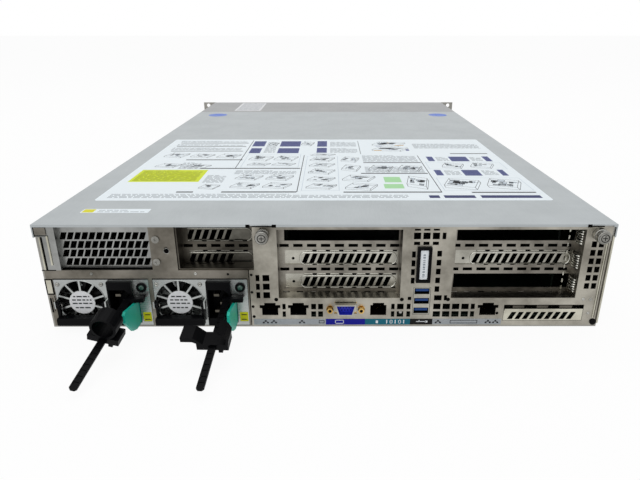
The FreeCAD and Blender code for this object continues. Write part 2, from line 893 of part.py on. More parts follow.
def thumbscrew(name, across):
    """A captive screw: ribbed head in front of the panel, shank through it."""
    screw = new_body(name)
    centre = (across, S.thumbscrew_height)
    y = panel_y - S.play - S.thumbscrew_length
    extrude(screw, "rear", y, S.thumbscrew_length, [ring_of(24, S.thumbscrew_radius)], centre)
    carve(screw, "rear", y - 1, 2.2, [shape(*((x * 2, z * 2) for x, z in CROSS))], centre)
    extrude(screw, "rear", y + S.thumbscrew_length, 9, [disc(0, 0, S.thumbscrew_shank)], centre)
    node(name, screw)


# ---------------------------------------------------------------- power supplies


def tie_hole(left):
    """The square hole that a cord tie's stem sits in, a little larger than the stem."""
    x = left + S.tie_anchor
    z = S.supply_floor + S.tie_height
    reach = S.tie_stem / 2 + S.play
    return rect(x - reach, z - reach, x + reach, z + reach)


def supply_case(name, left):
    """The power supply's box, hollowed for its fan, inlet and latch."""
    case = new_body(name + "_case")
    y = panel_y + S.thin_metal
    low = S.supply_floor
    extrude(case, "rear", y, S.supply_depth - S.thin_metal,
            [rect(left, low, left + S.supply_width, low + S.supply_high)])
    fan_x = left + S.fan_middle
    fan_z = S.supply_floor + S.fan_height
    carve(case, "rear", y - 1, S.rotor_depth + 5, [ring_of(30, S.fan_radius)], (fan_x, fan_z))
    extrude(case, "rear", y + 2 + S.play, S.rotor_depth + 2, [disc(fan_x, fan_z, S.shaft_radius)])
    carve(case, "rear", y - 1, S.inlet_depth - S.inlet_proud, [rect(
        left + S.inlet_left, low + 1, left + S.inlet_right, low + S.supply_high - 1)])
    carve(case, "rear", y - 1, S.tie_out, [tie_hole(left)])
    pivot_x = left + S.latch_root + S.latch_thickness / 2
    pivot_y = panel_y + S.latch_pivot
    room = S.latch_barrel + S.play
    base = low + S.latch_floor - 1
    tall = S.latch_top - S.latch_floor + 2
    carve(case, "top", base, tall, [rect(pivot_x - room, y - 1, pivot_x + room + 1, pivot_y + room)])
    extrude(case, "top", base, tall, [disc(pivot_x, pivot_y, S.pin_radius)])
    node(name + "_case", case)


def supply_face(name, left):
    """The bright face plate: fan guard with ten spokes, hinge ears and cut-outs."""
    face = new_body(name + "_face")
    t = S.thin_metal
    low = S.supply_floor
    high = low + S.supply_high
    fan_x = left + S.fan_middle
    fan_z = low + S.fan_height
    extrude(face, "rear", panel_y, t, [rect(left, low, left + S.supply_width, high)])
    pivot_x = left + S.latch_root + S.latch_thickness / 2
    carve(face, "rear", panel_y - 1, t + 2, [ring_of(30, S.fan_radius)], (fan_x, fan_z))
    carve(face, "rear", panel_y - 1, t + 2, [
        rect(left + S.inlet_left, low + 1, left + S.inlet_right, high - 1),
        rect(pivot_x - 1.9, low + S.latch_floor - 0.5, pivot_x + 1.5, low + S.latch_top + 0.5),
        tie_hole(left),
    ])
    extrude(face, "rear", panel_y, t, [ring_of(20, S.guard_hub)], (fan_x, fan_z))
    spoke = extrude(face, "rear", panel_y, t, [rect(
        -S.spoke_wide / 2, S.guard_hub - 0.5, S.spoke_wide / 2, S.fan_radius + 0.3)], (fan_x, fan_z))
    around(face, spoke, 10)
    ear = S.handle_out + S.handle_eye
    middle = low + S.handle_height
    for x in (left, left + 2 * S.fan_middle + S.play):
        extrude(face, "side", x, t, [rect(panel_y - ear, middle - 3, panel_y, middle + 3)])
    node(name + "_face", face)


def rotor(name, centre, start, depth, radii, blades, bore_start):
    """A fan rotor: a hub bored for its shaft, with swept blades."""
    hub, tip, shaft = radii
    wheel = new_body(name)
    extrude(wheel, "rear", start, depth, [ring_of(blades * 2, hub)], centre)
    blade = extrude(wheel, "rear", start + 1, depth - 2, [shape(
        (-1, hub - 1), (1, hub - 1), (tip * 0.28, tip * 0.94), (tip * 0.14, tip * 0.97))], centre)
    around(wheel, blade, blades)
    carve(wheel, "rear", bore_start, depth, [disc(0, 0, shaft + S.running)], centre)
    node(name, wheel)


def supply_fan(name, left):
    """The fan rotor behind the guard."""
    centre = (left + S.fan_middle, S.supply_floor + S.fan_height)
    start = panel_y + S.thin_metal + 1
    radii = (S.rotor_hub, S.rotor_radius, S.shaft_radius)
    rotor(name + "_fan_rotor", centre, start, S.rotor_depth, radii, 7, start + 1)


def supply_inlet(name, left):
    """The black inlet block: a moulded housing with a six-sided cavity and three pins."""
    inlet = new_body(name + "_inlet")
    low = S.supply_floor
    x0 = left + S.inlet_left
    x1 = left + S.inlet_right
    y = panel_y - S.inlet_proud
    extrude(inlet, "rear", y, S.inlet_depth, [rect(x0, low + 1, x1, low + S.supply_high - 1)])
    middle = (left + (S.inlet_left + S.inlet_right) / 2, low + S.supply_high / 2)
    wide = S.inlet_mouth_wide / 2
    high = S.inlet_mouth_high / 2
    carve(inlet, "rear", y - 1, S.inlet_mouth_deep + 1, [shape(
        (-wide, -high), (wide - 4, -high), (wide, -high + 4), (wide, high - 4),
        (wide - 4, high), (-wide, high))], middle)
    extrude(inlet, "rear", y + 2, S.inlet_mouth_deep, [
        rect(-4, 6, 0, 8), rect(-4, -8, 0, -6), rect(0.5, -1, 4.5, 1)], middle)
    node(name + "_inlet", inlet)


def supply_handle(name, left):
    """The bail handle: two arms with eyes, and a thick grip along the bottom."""
    handle = new_body(name + "_handle")
    low = S.supply_floor
    x0 = left + S.thin_metal + S.play
    x1 = left + 2 * S.fan_middle
    axis_y = panel_y - S.handle_out
    axis_z = low + S.handle_height
    t = S.handle_thickness
    arm = S.handle_arm
    eye = S.handle_eye
    bore = S.pin_radius + S.running
    for x in (x0, x1 - arm):
        extrude(handle, "side", x, arm, [
            rect(-t / 2, S.grip_floor - S.handle_height, t / 2, 0)], (axis_y, axis_z))
        extrude(handle, "side", x, arm, [ring_of(8, eye)], (axis_y, axis_z))
    extrude(handle, "side", x0, x1 - x0, [shape(
        (-S.grip_out + S.handle_out + 1.5, S.grip_floor - S.handle_height),
        (t / 2, S.grip_floor - S.handle_height),
        (t / 2, S.grip_floor + S.grip_high - S.handle_height),
        (-S.grip_out + S.handle_out + 1, S.grip_floor + S.grip_high - S.handle_height),
        (-S.grip_out + S.handle_out, S.grip_floor + S.grip_high - 1 - S.handle_height),
        (-S.grip_out + S.handle_out, S.grip_floor + 1.5 - S.handle_height),
    )], (axis_y, axis_z))
    carve(handle, "side", x0 - 1, x1 - x0 + 2, [disc(0, 0, bore)], (axis_y, axis_z))
    node(name + "_handle", handle)


def supply_latch(name, left):
    """The release lever: a fin-shaped tab, high at its tip, on a barrel that turns on its pin."""
    latch = new_body(name + "_latch")
    low = S.supply_floor + S.latch_floor
    tall = S.latch_top - S.latch_floor
    x = left + S.latch_root
    y = panel_y + S.latch_pivot
    centre = (x + S.latch_thickness / 2, y)
    reach = -S.latch_pivot - S.latch_reach
    high = tall + S.latch_rise
    extrude(latch, "side", x, S.latch_thickness, [shape(
        (0, 0), (0, tall), (-S.latch_pivot - 3, tall), (reach + 3, high), (reach, high - 1.5),
        (reach, high - 8), (reach + 12, 3), (reach + 20, 0))], (y, low))
    extrude(latch, "top", low, tall, [ring_of(10, S.latch_barrel)], centre)
    carve(latch, "top", low - 1, tall + 2, [disc(0, 0, S.pin_radius + S.running)], centre)
    node(name + "_latch", latch)


def on_tie(thing, left, turns):
    """Places a sub-part made along -Y so that it lies along a drooping cord tie."""
    yaw, roll = turns
    base = FreeCAD.Vector(
        (left + S.tie_across).value, panel_y.value, (S.supply_floor + S.tie_height).value)
    swing = FreeCAD.Rotation(FreeCAD.Vector(0, 0, 1), -sized(yaw).value)
    droop = FreeCAD.Rotation(FreeCAD.Vector(1, 0, 0), S.tie_droop.value)
    tilt = FreeCAD.Rotation(FreeCAD.Vector(0, 1, 0), sized(roll).value)
    thing.Placement = FreeCAD.Placement(base, swing.multiply(droop).multiply(tilt))


def cord_tie(name, left, turns):
    """The ribbed strap of a cord tie."""
    tie = new_body(name + "_cord_tie")
    t = S.tie_thickness / 2
    wide = S.tie_wide / 2
    reach = S.tie_out + S.tie_length
    tip = S.tie_wide / 4
    extrude(tie, "top", -t, S.tie_thickness, [shape(
        (-wide, -S.tie_out), (-wide, tip - reach), (-wide + tip, -reach), (wide - tip, -reach),
        (wide, tip - reach), (wide, -S.tie_out))])
    rib = carve(tie, "side", -wide + 1, S.tie_wide - 2, [rect(-reach + 4, t - 0.4, -reach + 6.4, t + 1)])
    repeat(tie, rib, 15, S.tie_rib)
    on_tie(tie, left, turns)
    node(name + "_cord_tie", tie)


def tie_root(left):
    """The tie's stem in the face's hole, and the bar that carries its strap past the latch."""
    x = left + S.tie_anchor
    z = S.supply_floor + S.tie_height
    reach = S.tie_stem / 2
    back = panel_y - S.tie_out
    low_x = left + S.tie_across - S.tie_wide / 2
    bar = block((low_x, x + reach + 1), (back - 2, back + 2), (z - reach, z + reach))
    stem = block((x - reach, x + reach), (back, panel_y + 3), (z - reach, z + reach))
    return bar, stem


def clip_arms(clip, start, base_high):
    """The two arms of an open clip: one arched, one swung out with its catch."""
    wide = S.clip_wide / 2
    wall = S.clip_wall
    extrude(clip, "rear", start, S.clip_length, [shape(
        (wide - wall, base_high - 1), (wide, base_high - 1), (wide + 1, 7), (wide - 1, 12),
        (wide - 6, 15), (wide - 6.6, 13), (wide - 2.4, 10.6), (wide - 0.9, 7))])
    extrude(clip, "rear", start, S.clip_length, [shape(
        (-8, base_high - 1), (-5.6, base_high - 1), (-13, 8.6), (-22, 8.6), (-22, 4.6), (-13.8, 4.6))])


def cord_clip(name, left, turns, along, spread):
    """The clamp that slides on the strap: a base with its slot, and a ring or two open arms."""
    clip = new_body(name + "_cord_clip")
    start = -along - S.clip_length / 2
    wide = S.clip_wide / 2
    base_high = S.tie_thickness / 2 + S.clip_base
    extrude(clip, "rear", start, S.clip_length, [rect(-wide, -base_high, wide, base_high)])
    carve(clip, "rear", start - 1, S.clip_length + 2, [rect(
        -S.tie_wide / 2 - S.play, -S.tie_thickness / 2 - S.play,
        S.tie_wide / 2 + S.play, S.tie_thickness / 2 + S.play)])
    extrude(clip, "rear", start, S.clip_length / 3, [rect(4, -base_high - 2.4, 7, -base_high)])
    if spread:
        clip_arms(clip, start, base_high)
    else:
        bore = S.clip_ring - S.clip_wall
        extrude(clip, "rear", start, S.clip_length, [
            ring_of(24, S.clip_ring), ring_of(24, bore)], (0, base_high + bore + 0.6))
    on_tie(clip, left, turns)
    node(name + "_cord_clip", clip)


def hinge_pins(left):
    """The two pins that carry the handle, standing on the face's ears."""
    height = S.supply_floor + S.handle_height
    y = panel_y - S.handle_out
    reach = S.play + S.handle_arm
    right = left + 2 * S.fan_middle - S.handle_arm
    return (
        rod("x", (left + S.thin_metal, y, height), S.pin_radius, reach),
        rod("x", (right, y, height), S.pin_radius, S.handle_arm + S.play),
    )


def power_supply(number):
    """All sub-parts of one power supply."""
    name = f"psu{number}"
    left = S.supply_left + S.supply_pitch * (number - 1)
    turns = (S.tie_yaw_first, S.tie_roll_first) if number == 1 else (S.tie_yaw_second, 0)
    along = S.clip_along_first if number == 1 else S.clip_along_second
    supply_case(name, left)
    supply_face(name, left)
    face = nodes.pop(name + "_face")
    node(name + "_face", join(face, *hinge_pins(left)))
    supply_fan(name, left)
    supply_inlet(name, left)
    supply_handle(name, left)
    supply_latch(name, left)
    cord_tie(name, left, turns)
    tie = nodes.pop(name + "_cord_tie")
    node(name + "_cord_tie", join(tie, *tie_root(left)))
    cord_clip(name, left, turns, along, number == 2)


# ---------------------------------------------------------------- inside


def motherboard():
    """The main board, cut back round the power supplies, on its standoffs."""
    board = new_body("motherboard")
    low = S.board_top - S.board_thickness
    back = panel_y + S.metal + 1
    left = S.supply_left + S.supply_pitch * 2 + 4
    shelf = rear + S.supply_depth + 12
    end = rear + 440
    extrude(board, "top", low, S.board_thickness, [shape(
        (left, back), (inner - 2, back), (inner - 2, end), (-inner + 4, end),
        (-inner + 4, shelf), (left, shelf))])
    legs = extrude(board, "top", S.metal, low - S.metal, [shape(
        (3, 0), (1.5, 2.6), (-1.5, 2.6), (-3, 0), (-1.5, -2.6), (1.5, -2.6))], (inner - 392, end - 232))
    repeat(board, legs, 3, sized(190), 3, sized(110))
    node("motherboard", board)


def memory_modules():
    """Memory modules beside the processors, standing in their sockets."""
    start = rear + 262
    sticks = []
    for bank in (-1, 1):
        for number in range(6):
            x = bank * 112 - 20 + number * 8
            sticks.append(block((x, x + 1.4), (start, start + 133), (S.board_top, S.board_top + 31)))
    node("memory_modules", group(*sticks))


def heatsinks():
    """Two finned heatsinks."""
    sinks = []
    for middle in (-48, 48):
        sink = new_body("sink")
        low = S.board_top
        points = [(-32, 0), (32, 0)]
        for number in range(9):
            x = 32 - number * 7.8
            points += [(x, 52), (x - 1.6, 52)]
            if number < 8:
                points += [(x - 1.6, 6), (x - 7.8, 6)]
        extrude(sink, "rear", rear + 280, 95, [shape(*points)], (middle, low))
        sinks.append(sink)
    node("cpu_heatsinks", group(*sinks))


def air_duct():
    """The plastic hood over processors and memory, open to the fans and the rear."""
    duct = new_body("air_duct")
    wide = 150
    t = 2
    top = wall_top - 4
    extrude(duct, "rear", rear + 250, 170, [shape(
        (-wide, S.board_top), (-wide + t, S.board_top), (-wide + t, top - t), (wide - t, top - t),
        (wide - t, S.board_top), (wide, S.board_top), (wide, top - 6), (wide - 6, top),
        (-wide + 6, top), (-wide, top - 6))])
    node("air_duct", duct)


def fan_centres():
    """Where the system fans sit across the server."""
    spread = (len(FANS) - 1) / 2
    return [(S.cooling_pitch * (number - spread), S.metal + S.cooling_wide / 2) for number in FANS]


FANS = range(4)


def cooling_fans():
    """Four fan frames with their struts, and their rotors."""
    frames = []
    start = rear + S.cooling_from_rear
    for number, centre in zip(FANS, fan_centres()):
        frame = new_body("frame")
        wide = S.cooling_wide / 2
        extrude(frame, "rear", start, S.cooling_depth, [rect(-wide, -wide, wide, wide)], centre)
        carve(frame, "rear", start - 1, S.cooling_depth + 2, [ring_of(24, S.cooling_bore)], centre)
        extrude(frame, "rear", start, 3, [ring_of(12, S.cooling_hub)], centre)
        strut = extrude(frame, "rear", start, 3, [rect(-1.5, 0, 1.5, S.cooling_bore + 1)], centre)
        around(frame, strut, 3)
        extrude(frame, "rear", start + 3, 12, [disc(0, 0, S.shaft_radius)], centre)
        frames.append(frame)
        radii = (S.cooling_hub, S.cooling_blade, S.shaft_radius)
        deep = S.cooling_depth - 7
        rotor(f"fan_rotor_{number + 1}", centre, start + 5, deep, radii, 5, start + 4)
    node("fan_frames", group(*frames))


def drive_cage():
    """The front cage: a top sheet with four uprights standing on the floor."""
    cage = new_body("drive_cage")
    t = S.metal
    top = S.cage_top
    edges = [S.bay_start + S.bay_module * number for number in range(4)]
    points = [(edges[0], top), (edges[0], t)]
    for number, x in enumerate(edges):
        if number > 0:
            points += [(x, top - t), (x, t)]
        points.append((x + t, t))
        points.append((x + t, top if number == 3 else top - t))
    extrude(cage, "rear", front - S.cage_depth - S.carrier_inset, S.cage_depth, [shape(*points)])
    node("drive_cage", cage)


def drive_backplane():
    """The board behind the drives, with a connector for each one."""
    y = front - S.carrier_inset - S.cage_depth
    left = S.bay_start + S.bay_module + S.metal
    right = S.bay_start + S.bay_module * 2
    board = block((left, right), (y, y + 2), (S.metal, S.cage_top - S.metal))
    plugs = []
    for number in range(8):
        x = carrier_left(number) + 3
        reach = front - S.carrier_inset - S.carrier_depth + 2 - S.play
        plugs.append(block((x, x + 8), (y + 2, reach), (S.carrier_floor + 8, S.carrier_floor + 48)))
    node("drive_backplane", join(board, *plugs))


def carrier_left(number):
    """Left side of a drive carrier."""
    return S.bay_start + S.bay_module + S.metal + 0.6 + S.carrier_pitch * number


def carrier_body(name, number):
    """A carrier's bezel and rails with its drive between them."""
    carrier = new_body(name)
    x = carrier_left(number)
    right = x + S.carrier_width
    face = front - S.carrier_inset - S.carrier_face
    low = S.carrier_floor
    high = low + S.carrier_high
    extrude(carrier, "rear", face, S.carrier_face, [rect(x, low, right, high)])
    carve(carrier, "rear", face + 4, S.carrier_face, [rect(x + 2, low + 4, right - 2, high - 4)])
    extrude(carrier, "rear", front - S.carrier_inset - S.carrier_depth, S.carrier_depth - S.carrier_face, [
        rect(x + 0.5, low, right - 0.5, low + 1.6), rect(x + 0.5, high - 1.6, right - 0.5, high)])
    return carrier


def drive_carrier(number):
    """One hot-swap carrier: frame, drive and the lever that locks it."""
    name = f"drive_carrier_{number + 1}"
    x = carrier_left(number)
    right = x + S.carrier_width
    low = S.carrier_floor
    high = low + S.carrier_high
    start = front - S.carrier_inset - S.carrier_depth
    drive = block((x + 1, right - 1), (start + 2, start + 98), (low + 1.6, high - 1.6))
    pivot_y = front - S.carrier_inset - 1
    pivot_z = low + 8
    pin = rod("x", (x + 2, pivot_y, pivot_z), S.pin_radius, S.carrier_width - 4)
    node(name, group(join(carrier_body(name, number), pin), drive))
    lever = new_body(f"carrier_lever_{number + 1}")
    centre = (pivot_y, pivot_z)
    left = x + (S.carrier_width - S.lever_width) / 2
    extrude(lever, "side", left, S.lever_width, [shape(
        (-1.2, 0), (1.2, 0), (S.lever_thickness, 8), (S.lever_thickness, S.carrier_high - 22),
        (0, S.carrier_high - 22), (0, 8))], centre)
    extrude(lever, "side", left, S.lever_width, [ring_of(8, S.lever_eye)], centre)
    carve(lever, "side", left - 1, S.lever_width + 2, [disc(0, 0, S.pin_radius + S.running)], centre)
    node(lever.Name, lever)


def bay_blanks():
    """Blank carriers in the empty places, and vented fillers for the two outer modules."""
    blanks = [carrier_body("blank", number) for number in range(4, 8)]
    for module in (0, 2):
        blank = new_body("blank")
        left = S.bay_start + S.bay_module * module + S.metal
        right = left + S.bay_module - S.metal
        start = front - S.carrier_inset - 12
        extrude(blank, "rear", start, 12, [rect(left, S.carrier_floor, right, S.cage_top - S.metal)])
        carve(blank, "rear", start - 1, 11, [
            rect(left + 2, S.carrier_floor + 2, right - 2, S.cage_top - S.metal - 2)])
        hole = carve(blank, "rear", start, 14, [rect(left + 7, 12, left + 43.5, 28)])
        repeat(blank, hole, 3, sized(41), 3, sized(22))
        blanks.append(blank)
    node("bay_blanks", group(*blanks))


def front_panel():
    """The control panel's housing, with a guide bore for each button."""
    panel = new_body("front_panel")
    left = S.bay_start + S.bay_module * 3 + S.metal
    right = inner - 1
    start = front - S.carrier_inset - 24
    extrude(panel, "rear", start, 24, [rect(left, S.carrier_floor, right, S.cage_top)])
    for height in BUTTONS.values():
        carve(panel, "rear", start + 24 - S.button_length - S.button_travel, 20, [
            disc(button_across(), height, S.button_radius + S.play)])
    node("front_panel", panel)


BUTTONS = {"power_button": 66, "identify_button": 50}


def button_across():
    """Where the buttons sit across the server."""
    return (S.bay_start + S.bay_module * 3 + S.metal + inner - 1) / 2


def buttons():
    """The power and identify buttons."""
    for name, height in BUTTONS.items():
        y = front - S.carrier_inset - S.button_length + 1.6
        button = new_body(name)
        extrude(button, "rear", y, S.button_length, [disc(0, 0, S.button_radius)], (button_across(), height))
        node(name, button)


def build():
    """Makes every sub-part."""
    chassis_tray()
    cover("top_cover", rear, seam, True)
    cover("front_cover", seam + S.play, front - S.ear_thickness, False)
    rack_ears()
    rear_panel()
    psu_cage()
    vent_panel()
    riser_brackets()
    slot_fillers()
    riser_cards()
    io_module_filler()
    rj45_jacks()
    usb_ports()
    vga_port()
    tag_holder()
    panel_screws()
    thumbscrew("riser_thumbscrew_left", S.thumbscrew_left)
    thumbscrew("riser_thumbscrew_right", S.thumbscrew_right)
    for number in (1, 2):
        power_supply(number)
    motherboard()
    memory_modules()
    heatsinks()
    air_duct()
    cooling_fans()
    drive_cage()
    drive_backplane()
    for number in range(4):
        drive_carrier(number)
    bay_blanks()
    front_panel()
    buttons()


def export():
    """Checks every object, then writes each sub-part to its own file."""
    doc.recompute()
    failed = [thing.Label for thing in doc.Objects if {"Invalid", "Error"} & set(thing.State)]
    if failed:
        raise RuntimeError("did not compute: " + ", ".join(failed))
    for name, thing in nodes.items():
        if thing.Shape.isNull() or not thing.Shape.isValid():
            raise RuntimeError(f"{name} has no valid shape")
    for name, thing in nodes.items():
        thing.Shape.exportStep(f"parts/{name}.step")
    print(len(nodes), "sub-parts written")


build()
export()
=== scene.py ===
# %% [markdown]
# A 2U rack server seen from behind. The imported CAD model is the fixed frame: this file gives it
# its finishes and adds the printed labels and the small things that a moulding or a press leaves.
# X runs to the right seen from the rear, -Y is the rear panel, and all lengths are in metres.

# %% Load the frame and keep its box
import math
import random

import bmesh
import bpy
from mathutils import Euler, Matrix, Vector


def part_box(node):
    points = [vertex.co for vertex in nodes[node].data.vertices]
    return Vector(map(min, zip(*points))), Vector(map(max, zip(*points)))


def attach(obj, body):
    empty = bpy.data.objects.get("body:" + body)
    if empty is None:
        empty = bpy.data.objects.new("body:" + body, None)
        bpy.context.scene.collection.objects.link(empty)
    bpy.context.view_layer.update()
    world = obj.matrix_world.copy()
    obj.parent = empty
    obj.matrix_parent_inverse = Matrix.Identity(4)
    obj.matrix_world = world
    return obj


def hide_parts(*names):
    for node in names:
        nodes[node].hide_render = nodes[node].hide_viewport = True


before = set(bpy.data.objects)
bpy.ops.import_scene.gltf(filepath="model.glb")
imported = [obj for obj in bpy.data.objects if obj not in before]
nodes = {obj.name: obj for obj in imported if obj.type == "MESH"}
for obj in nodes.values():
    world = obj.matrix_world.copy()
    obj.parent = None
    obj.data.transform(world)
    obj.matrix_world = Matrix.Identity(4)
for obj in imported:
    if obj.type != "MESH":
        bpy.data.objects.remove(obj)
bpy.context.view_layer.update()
MM = 0.001
chance = random.Random(7)


def corners(name):
    """The lowest and highest corner of a CAD node, in millimetres."""
    low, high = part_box(name)
    return Vector(low) / MM, Vector(high) / MM

# %% [markdown]
# A finish starts from the sRGB colour that the eye reads off the real thing. Blender's shaders
# work in linear light, so one function turns each hex value to linear.

# %% Colours and nodes


def linear(hex_value, alpha=1.0):
    """The linear colour of an sRGB hex value."""
    parts = [int(hex_value[i:i + 2], 16) / 255 for i in (1, 3, 5)]
    light = [p / 12.92 if p <= 0.04045 else ((p + 0.055) / 1.055) ** 2.4 for p in parts]
    return (*light, alpha)


def add_node(tree, kind, settings=(), **links):
    """One shader node: settings are its properties or input values, links come from sockets."""
    made = tree.nodes.new(kind)
    for key, value in dict(settings).items():
        if hasattr(made, key) and key not in made.inputs:
            setattr(made, key, value)
        else:
            made.inputs[key].default_value = value
    for name, socket in links.items():
        tree.links.new(socket, made.inputs[name.replace("_", " ")])
    return made


def new_material(name, base, roughness, metallic=0.0, **more):
    """A material with its shader set from plain numbers, its tree and its shader node."""
    material = bpy.data.materials.new(name)
    material.use_nodes = True
    tree = material.node_tree
    shader = tree.nodes["Principled BSDF"]
    shader.inputs["Base Color"].default_value = linear(base)
    shader.inputs["Roughness"].default_value = roughness
    shader.inputs["Metallic"].default_value = metallic
    for key, value in more.items():
        shader.inputs[key.replace("_", " ")].default_value = value
    return material, tree, shader


# %% [markdown]
# Zinc-plated steel sheet is rolled, so its surface carries fine lines along the rolling
# direction and a faint cloudiness from the plating bath. Noise makes both: the stretched lines
# bend the normal and move the roughness a little, and the clouds move the colour. Real rolling
# lines are under 0.1 mm apart, too fine to show, so they are drawn about 0.5 mm apart.

# %% Rolled and plated steel
CLOUD_SIZE = 35.0
LINE_PITCH = 0.5
LINE_LENGTH = 12.0


def rolled_steel(name, dark, light, roughness, along="x", bump=0.08):
    """Plated sheet with rolling lines along one axis and soft clouds between two colours."""
    material, tree, shader = new_material(name, light, roughness, metallic=1.0)
    place = add_node(tree, "ShaderNodeTexCoord")
    fine = 1 / (LINE_PITCH * MM)
    long = 1 / (LINE_LENGTH * MM)
    grain = [long if axis == along else fine for axis in "xyz"]
    stretch = add_node(tree, "ShaderNodeMapping", {"Scale": grain}, Vector=place.outputs["Object"])
    lines = add_node(tree, "ShaderNodeTexNoise", {"Scale": 1.0, "Detail": 3.0, "Roughness": 0.6},
                     Vector=stretch.outputs["Vector"])
    clouds = add_node(tree, "ShaderNodeTexNoise", {
        "Scale": 1 / (CLOUD_SIZE * MM), "Detail": 5.0, "Roughness": 0.62,
    }, Vector=place.outputs["Object"])
    blend = add_node(tree, "ShaderNodeMapRange", {"From Min": 0.36, "From Max": 0.64},
                     Value=clouds.outputs["Fac"])
    tint = add_node(tree, "ShaderNodeMix", {"data_type": "RGBA"}, Factor=blend.outputs["Result"])
    tint.inputs[6].default_value = linear(dark)
    tint.inputs[7].default_value = linear(light)
    tree.links.new(tint.outputs[2], shader.inputs["Base Color"])
    matt = add_node(tree, "ShaderNodeMapRange", {
        "From Min": 0.3, "From Max": 0.7, "To Min": roughness - 0.06, "To Max": roughness + 0.06,
    }, Value=lines.outputs["Fac"])
    tree.links.new(matt.outputs["Result"], shader.inputs["Roughness"])
    dent = add_node(tree, "ShaderNodeBump", {"Strength": bump, "Distance": 0.0003},
                    Height=lines.outputs["Fac"])
    tree.links.new(dent.outputs["Normal"], shader.inputs["Normal"])
    return material


chassis_steel = rolled_steel("zinc_plated_steel", "#7f7b72", "#b0aca1", 0.36)
# A darker copy of the chassis steel: painted shade on the supply cage and the vent panel.
shade_painted_steel = rolled_steel("shade_painted_zinc_plated_steel", "#5d5951", "#88837a", 0.36)
side_steel = rolled_steel("chassis_side_steel", "#8d8b85", "#9d9b95", 0.42, "y", 0.05)
cover_steel = rolled_steel("cover_sheet_steel", "#a9aeb0", "#afb4b6", 0.5, "y", 0.04)
front_steel = rolled_steel("front_sheet_steel", "#9a9b9c", "#a0a1a1", 0.5, "y", 0.04)
bracket_steel = rolled_steel("riser_bracket_steel", "#66625b", "#97938a", 0.32)
# Dark steel: painted shade on the low profile bracket, on the inlet pins and beside the right folds; the
# module latches take it too.
dark_steel_and_shade = rolled_steel("dark_steel_and_painted_shade", "#3f3c36", "#625e56", 0.36)
nickel = rolled_steel("nickel_plate", "#86847b", "#b9b7ad", 0.28)
# A darker copy of the nickel plate: painted shade for the low profile bay.
shade_painted_nickel = rolled_steel("shade_painted_nickel_plate", "#504e48", "#77756d", 0.34)
grille_steel = rolled_steel("grille_sheet_steel", "#7c7d7b", "#a2a3a1", 0.34)
# Pale yellowed zinc: the I/O module's own plate, and a painted highlight on the folds of the rear wall.
cream_zinc_and_highlight = rolled_steel("yellowed_zinc_and_painted_highlight", "#a19e90", "#ccc9ba", 0.34)
# Bright strip steel: the spring fingers' own metal, and a painted highlight on the vent rims of the middle
# and right bays.
spring_steel_and_highlight = rolled_steel("spring_steel_and_painted_highlight", "#aeada4", "#dddcd4", 0.2)
zinc = rolled_steel("bright_zinc_plate", "#9a9d9c", "#b3b6b4", 0.3)
screw_steel = rolled_steel("turned_screw_steel", "#75746f", "#b5b4af", 0.26)
gold = rolled_steel("gold_flash_plate", "#8a6a2c", "#d9b36a", 0.25)
fin_metal = rolled_steel("extruded_aluminium", "#a6a7a8", "#c6c7c8", 0.35)
drive_metal = rolled_steel("cast_drive_housing", "#5d6063", "#777a7e", 0.45)

# %% [markdown]
# The plastics here are injection moulded: glass-filled nylon and polycarbonate with a spark-eroded
# mould finish. That gives a grain of about 0.4 mm, drawn as a small bump, and a satin sheen.

# %% Moulded plastics


def moulded(name, colour, roughness=0.42, grain=0.4, bump=0.12, gloss=0.5):
    """Moulded plastic with a fine eroded grain, grain being its size in millimetres."""
    material, tree, shader = new_material(name, colour, roughness, IOR=1.5, Specular_IOR_Level=gloss)
    place = add_node(tree, "ShaderNodeTexCoord")
    speckle = add_node(tree, "ShaderNodeTexNoise", {"Scale": 1 / (grain * MM), "Detail": 2.0},
                       Vector=place.outputs["Object"])
    patch = add_node(tree, "ShaderNodeTexNoise", {"Scale": 60.0, "Detail": 2.0},
                     Vector=place.outputs["Object"])
    matt = add_node(tree, "ShaderNodeMapRange", {
        "To Min": roughness - 0.07, "To Max": roughness + 0.07}, Value=patch.outputs["Fac"])
    tree.links.new(matt.outputs["Result"], shader.inputs["Roughness"])
    dent = add_node(tree, "ShaderNodeBump", {"Strength": bump, "Distance": 0.0001},
                    Height=speckle.outputs["Fac"])
    tree.links.new(dent.outputs["Normal"], shader.inputs["Normal"])
    return material


black_nylon = moulded("black_glass_filled_nylon", "#040406", 0.45, gloss=0.07)
fan_plastic = moulded("black_fan_polyester", "#050506", 0.5, gloss=0.12)
# Near black: the jacks' own moulding, and painted shade in socket mouths, holes, slots, notches, recesses and
# gaps.
black_and_shade = moulded("black_moulding_and_painted_shade", "#020202", 0.8, gloss=0.05)
teal_latch = moulded("teal_latch_polycarbonate", "#12b09a", 0.42, gloss=0.3)
port_blue = moulded("port_blue_polyester", "#2a34b8", 0.4, gloss=0.3)
usb_blue = moulded("usb_tongue_blue", "#1f3f78", 0.45, gloss=0.2)
touch_blue = moulded("touch_point_blue", "#5f7bcb", 0.45, gloss=0.2)
button_grey = moulded("pale_button_plastic", "#c4c6c8", 0.4)
board_green = moulded("solder_mask_green", "#0a140e", 0.45, 0.8, gloss=0.2)
memory_green = moulded("memory_board_green", "#0c2619", 0.35, 0.8)
lens_green = moulded("smoked_lens_green", "#28493f", 0.12)

# %% [markdown]
# A printed label is thin polyester film with a satin face, and its inks are a little duller than
# the bare film. A trace of noise keeps a large white area from looking like plain paint.

# %% Printed film


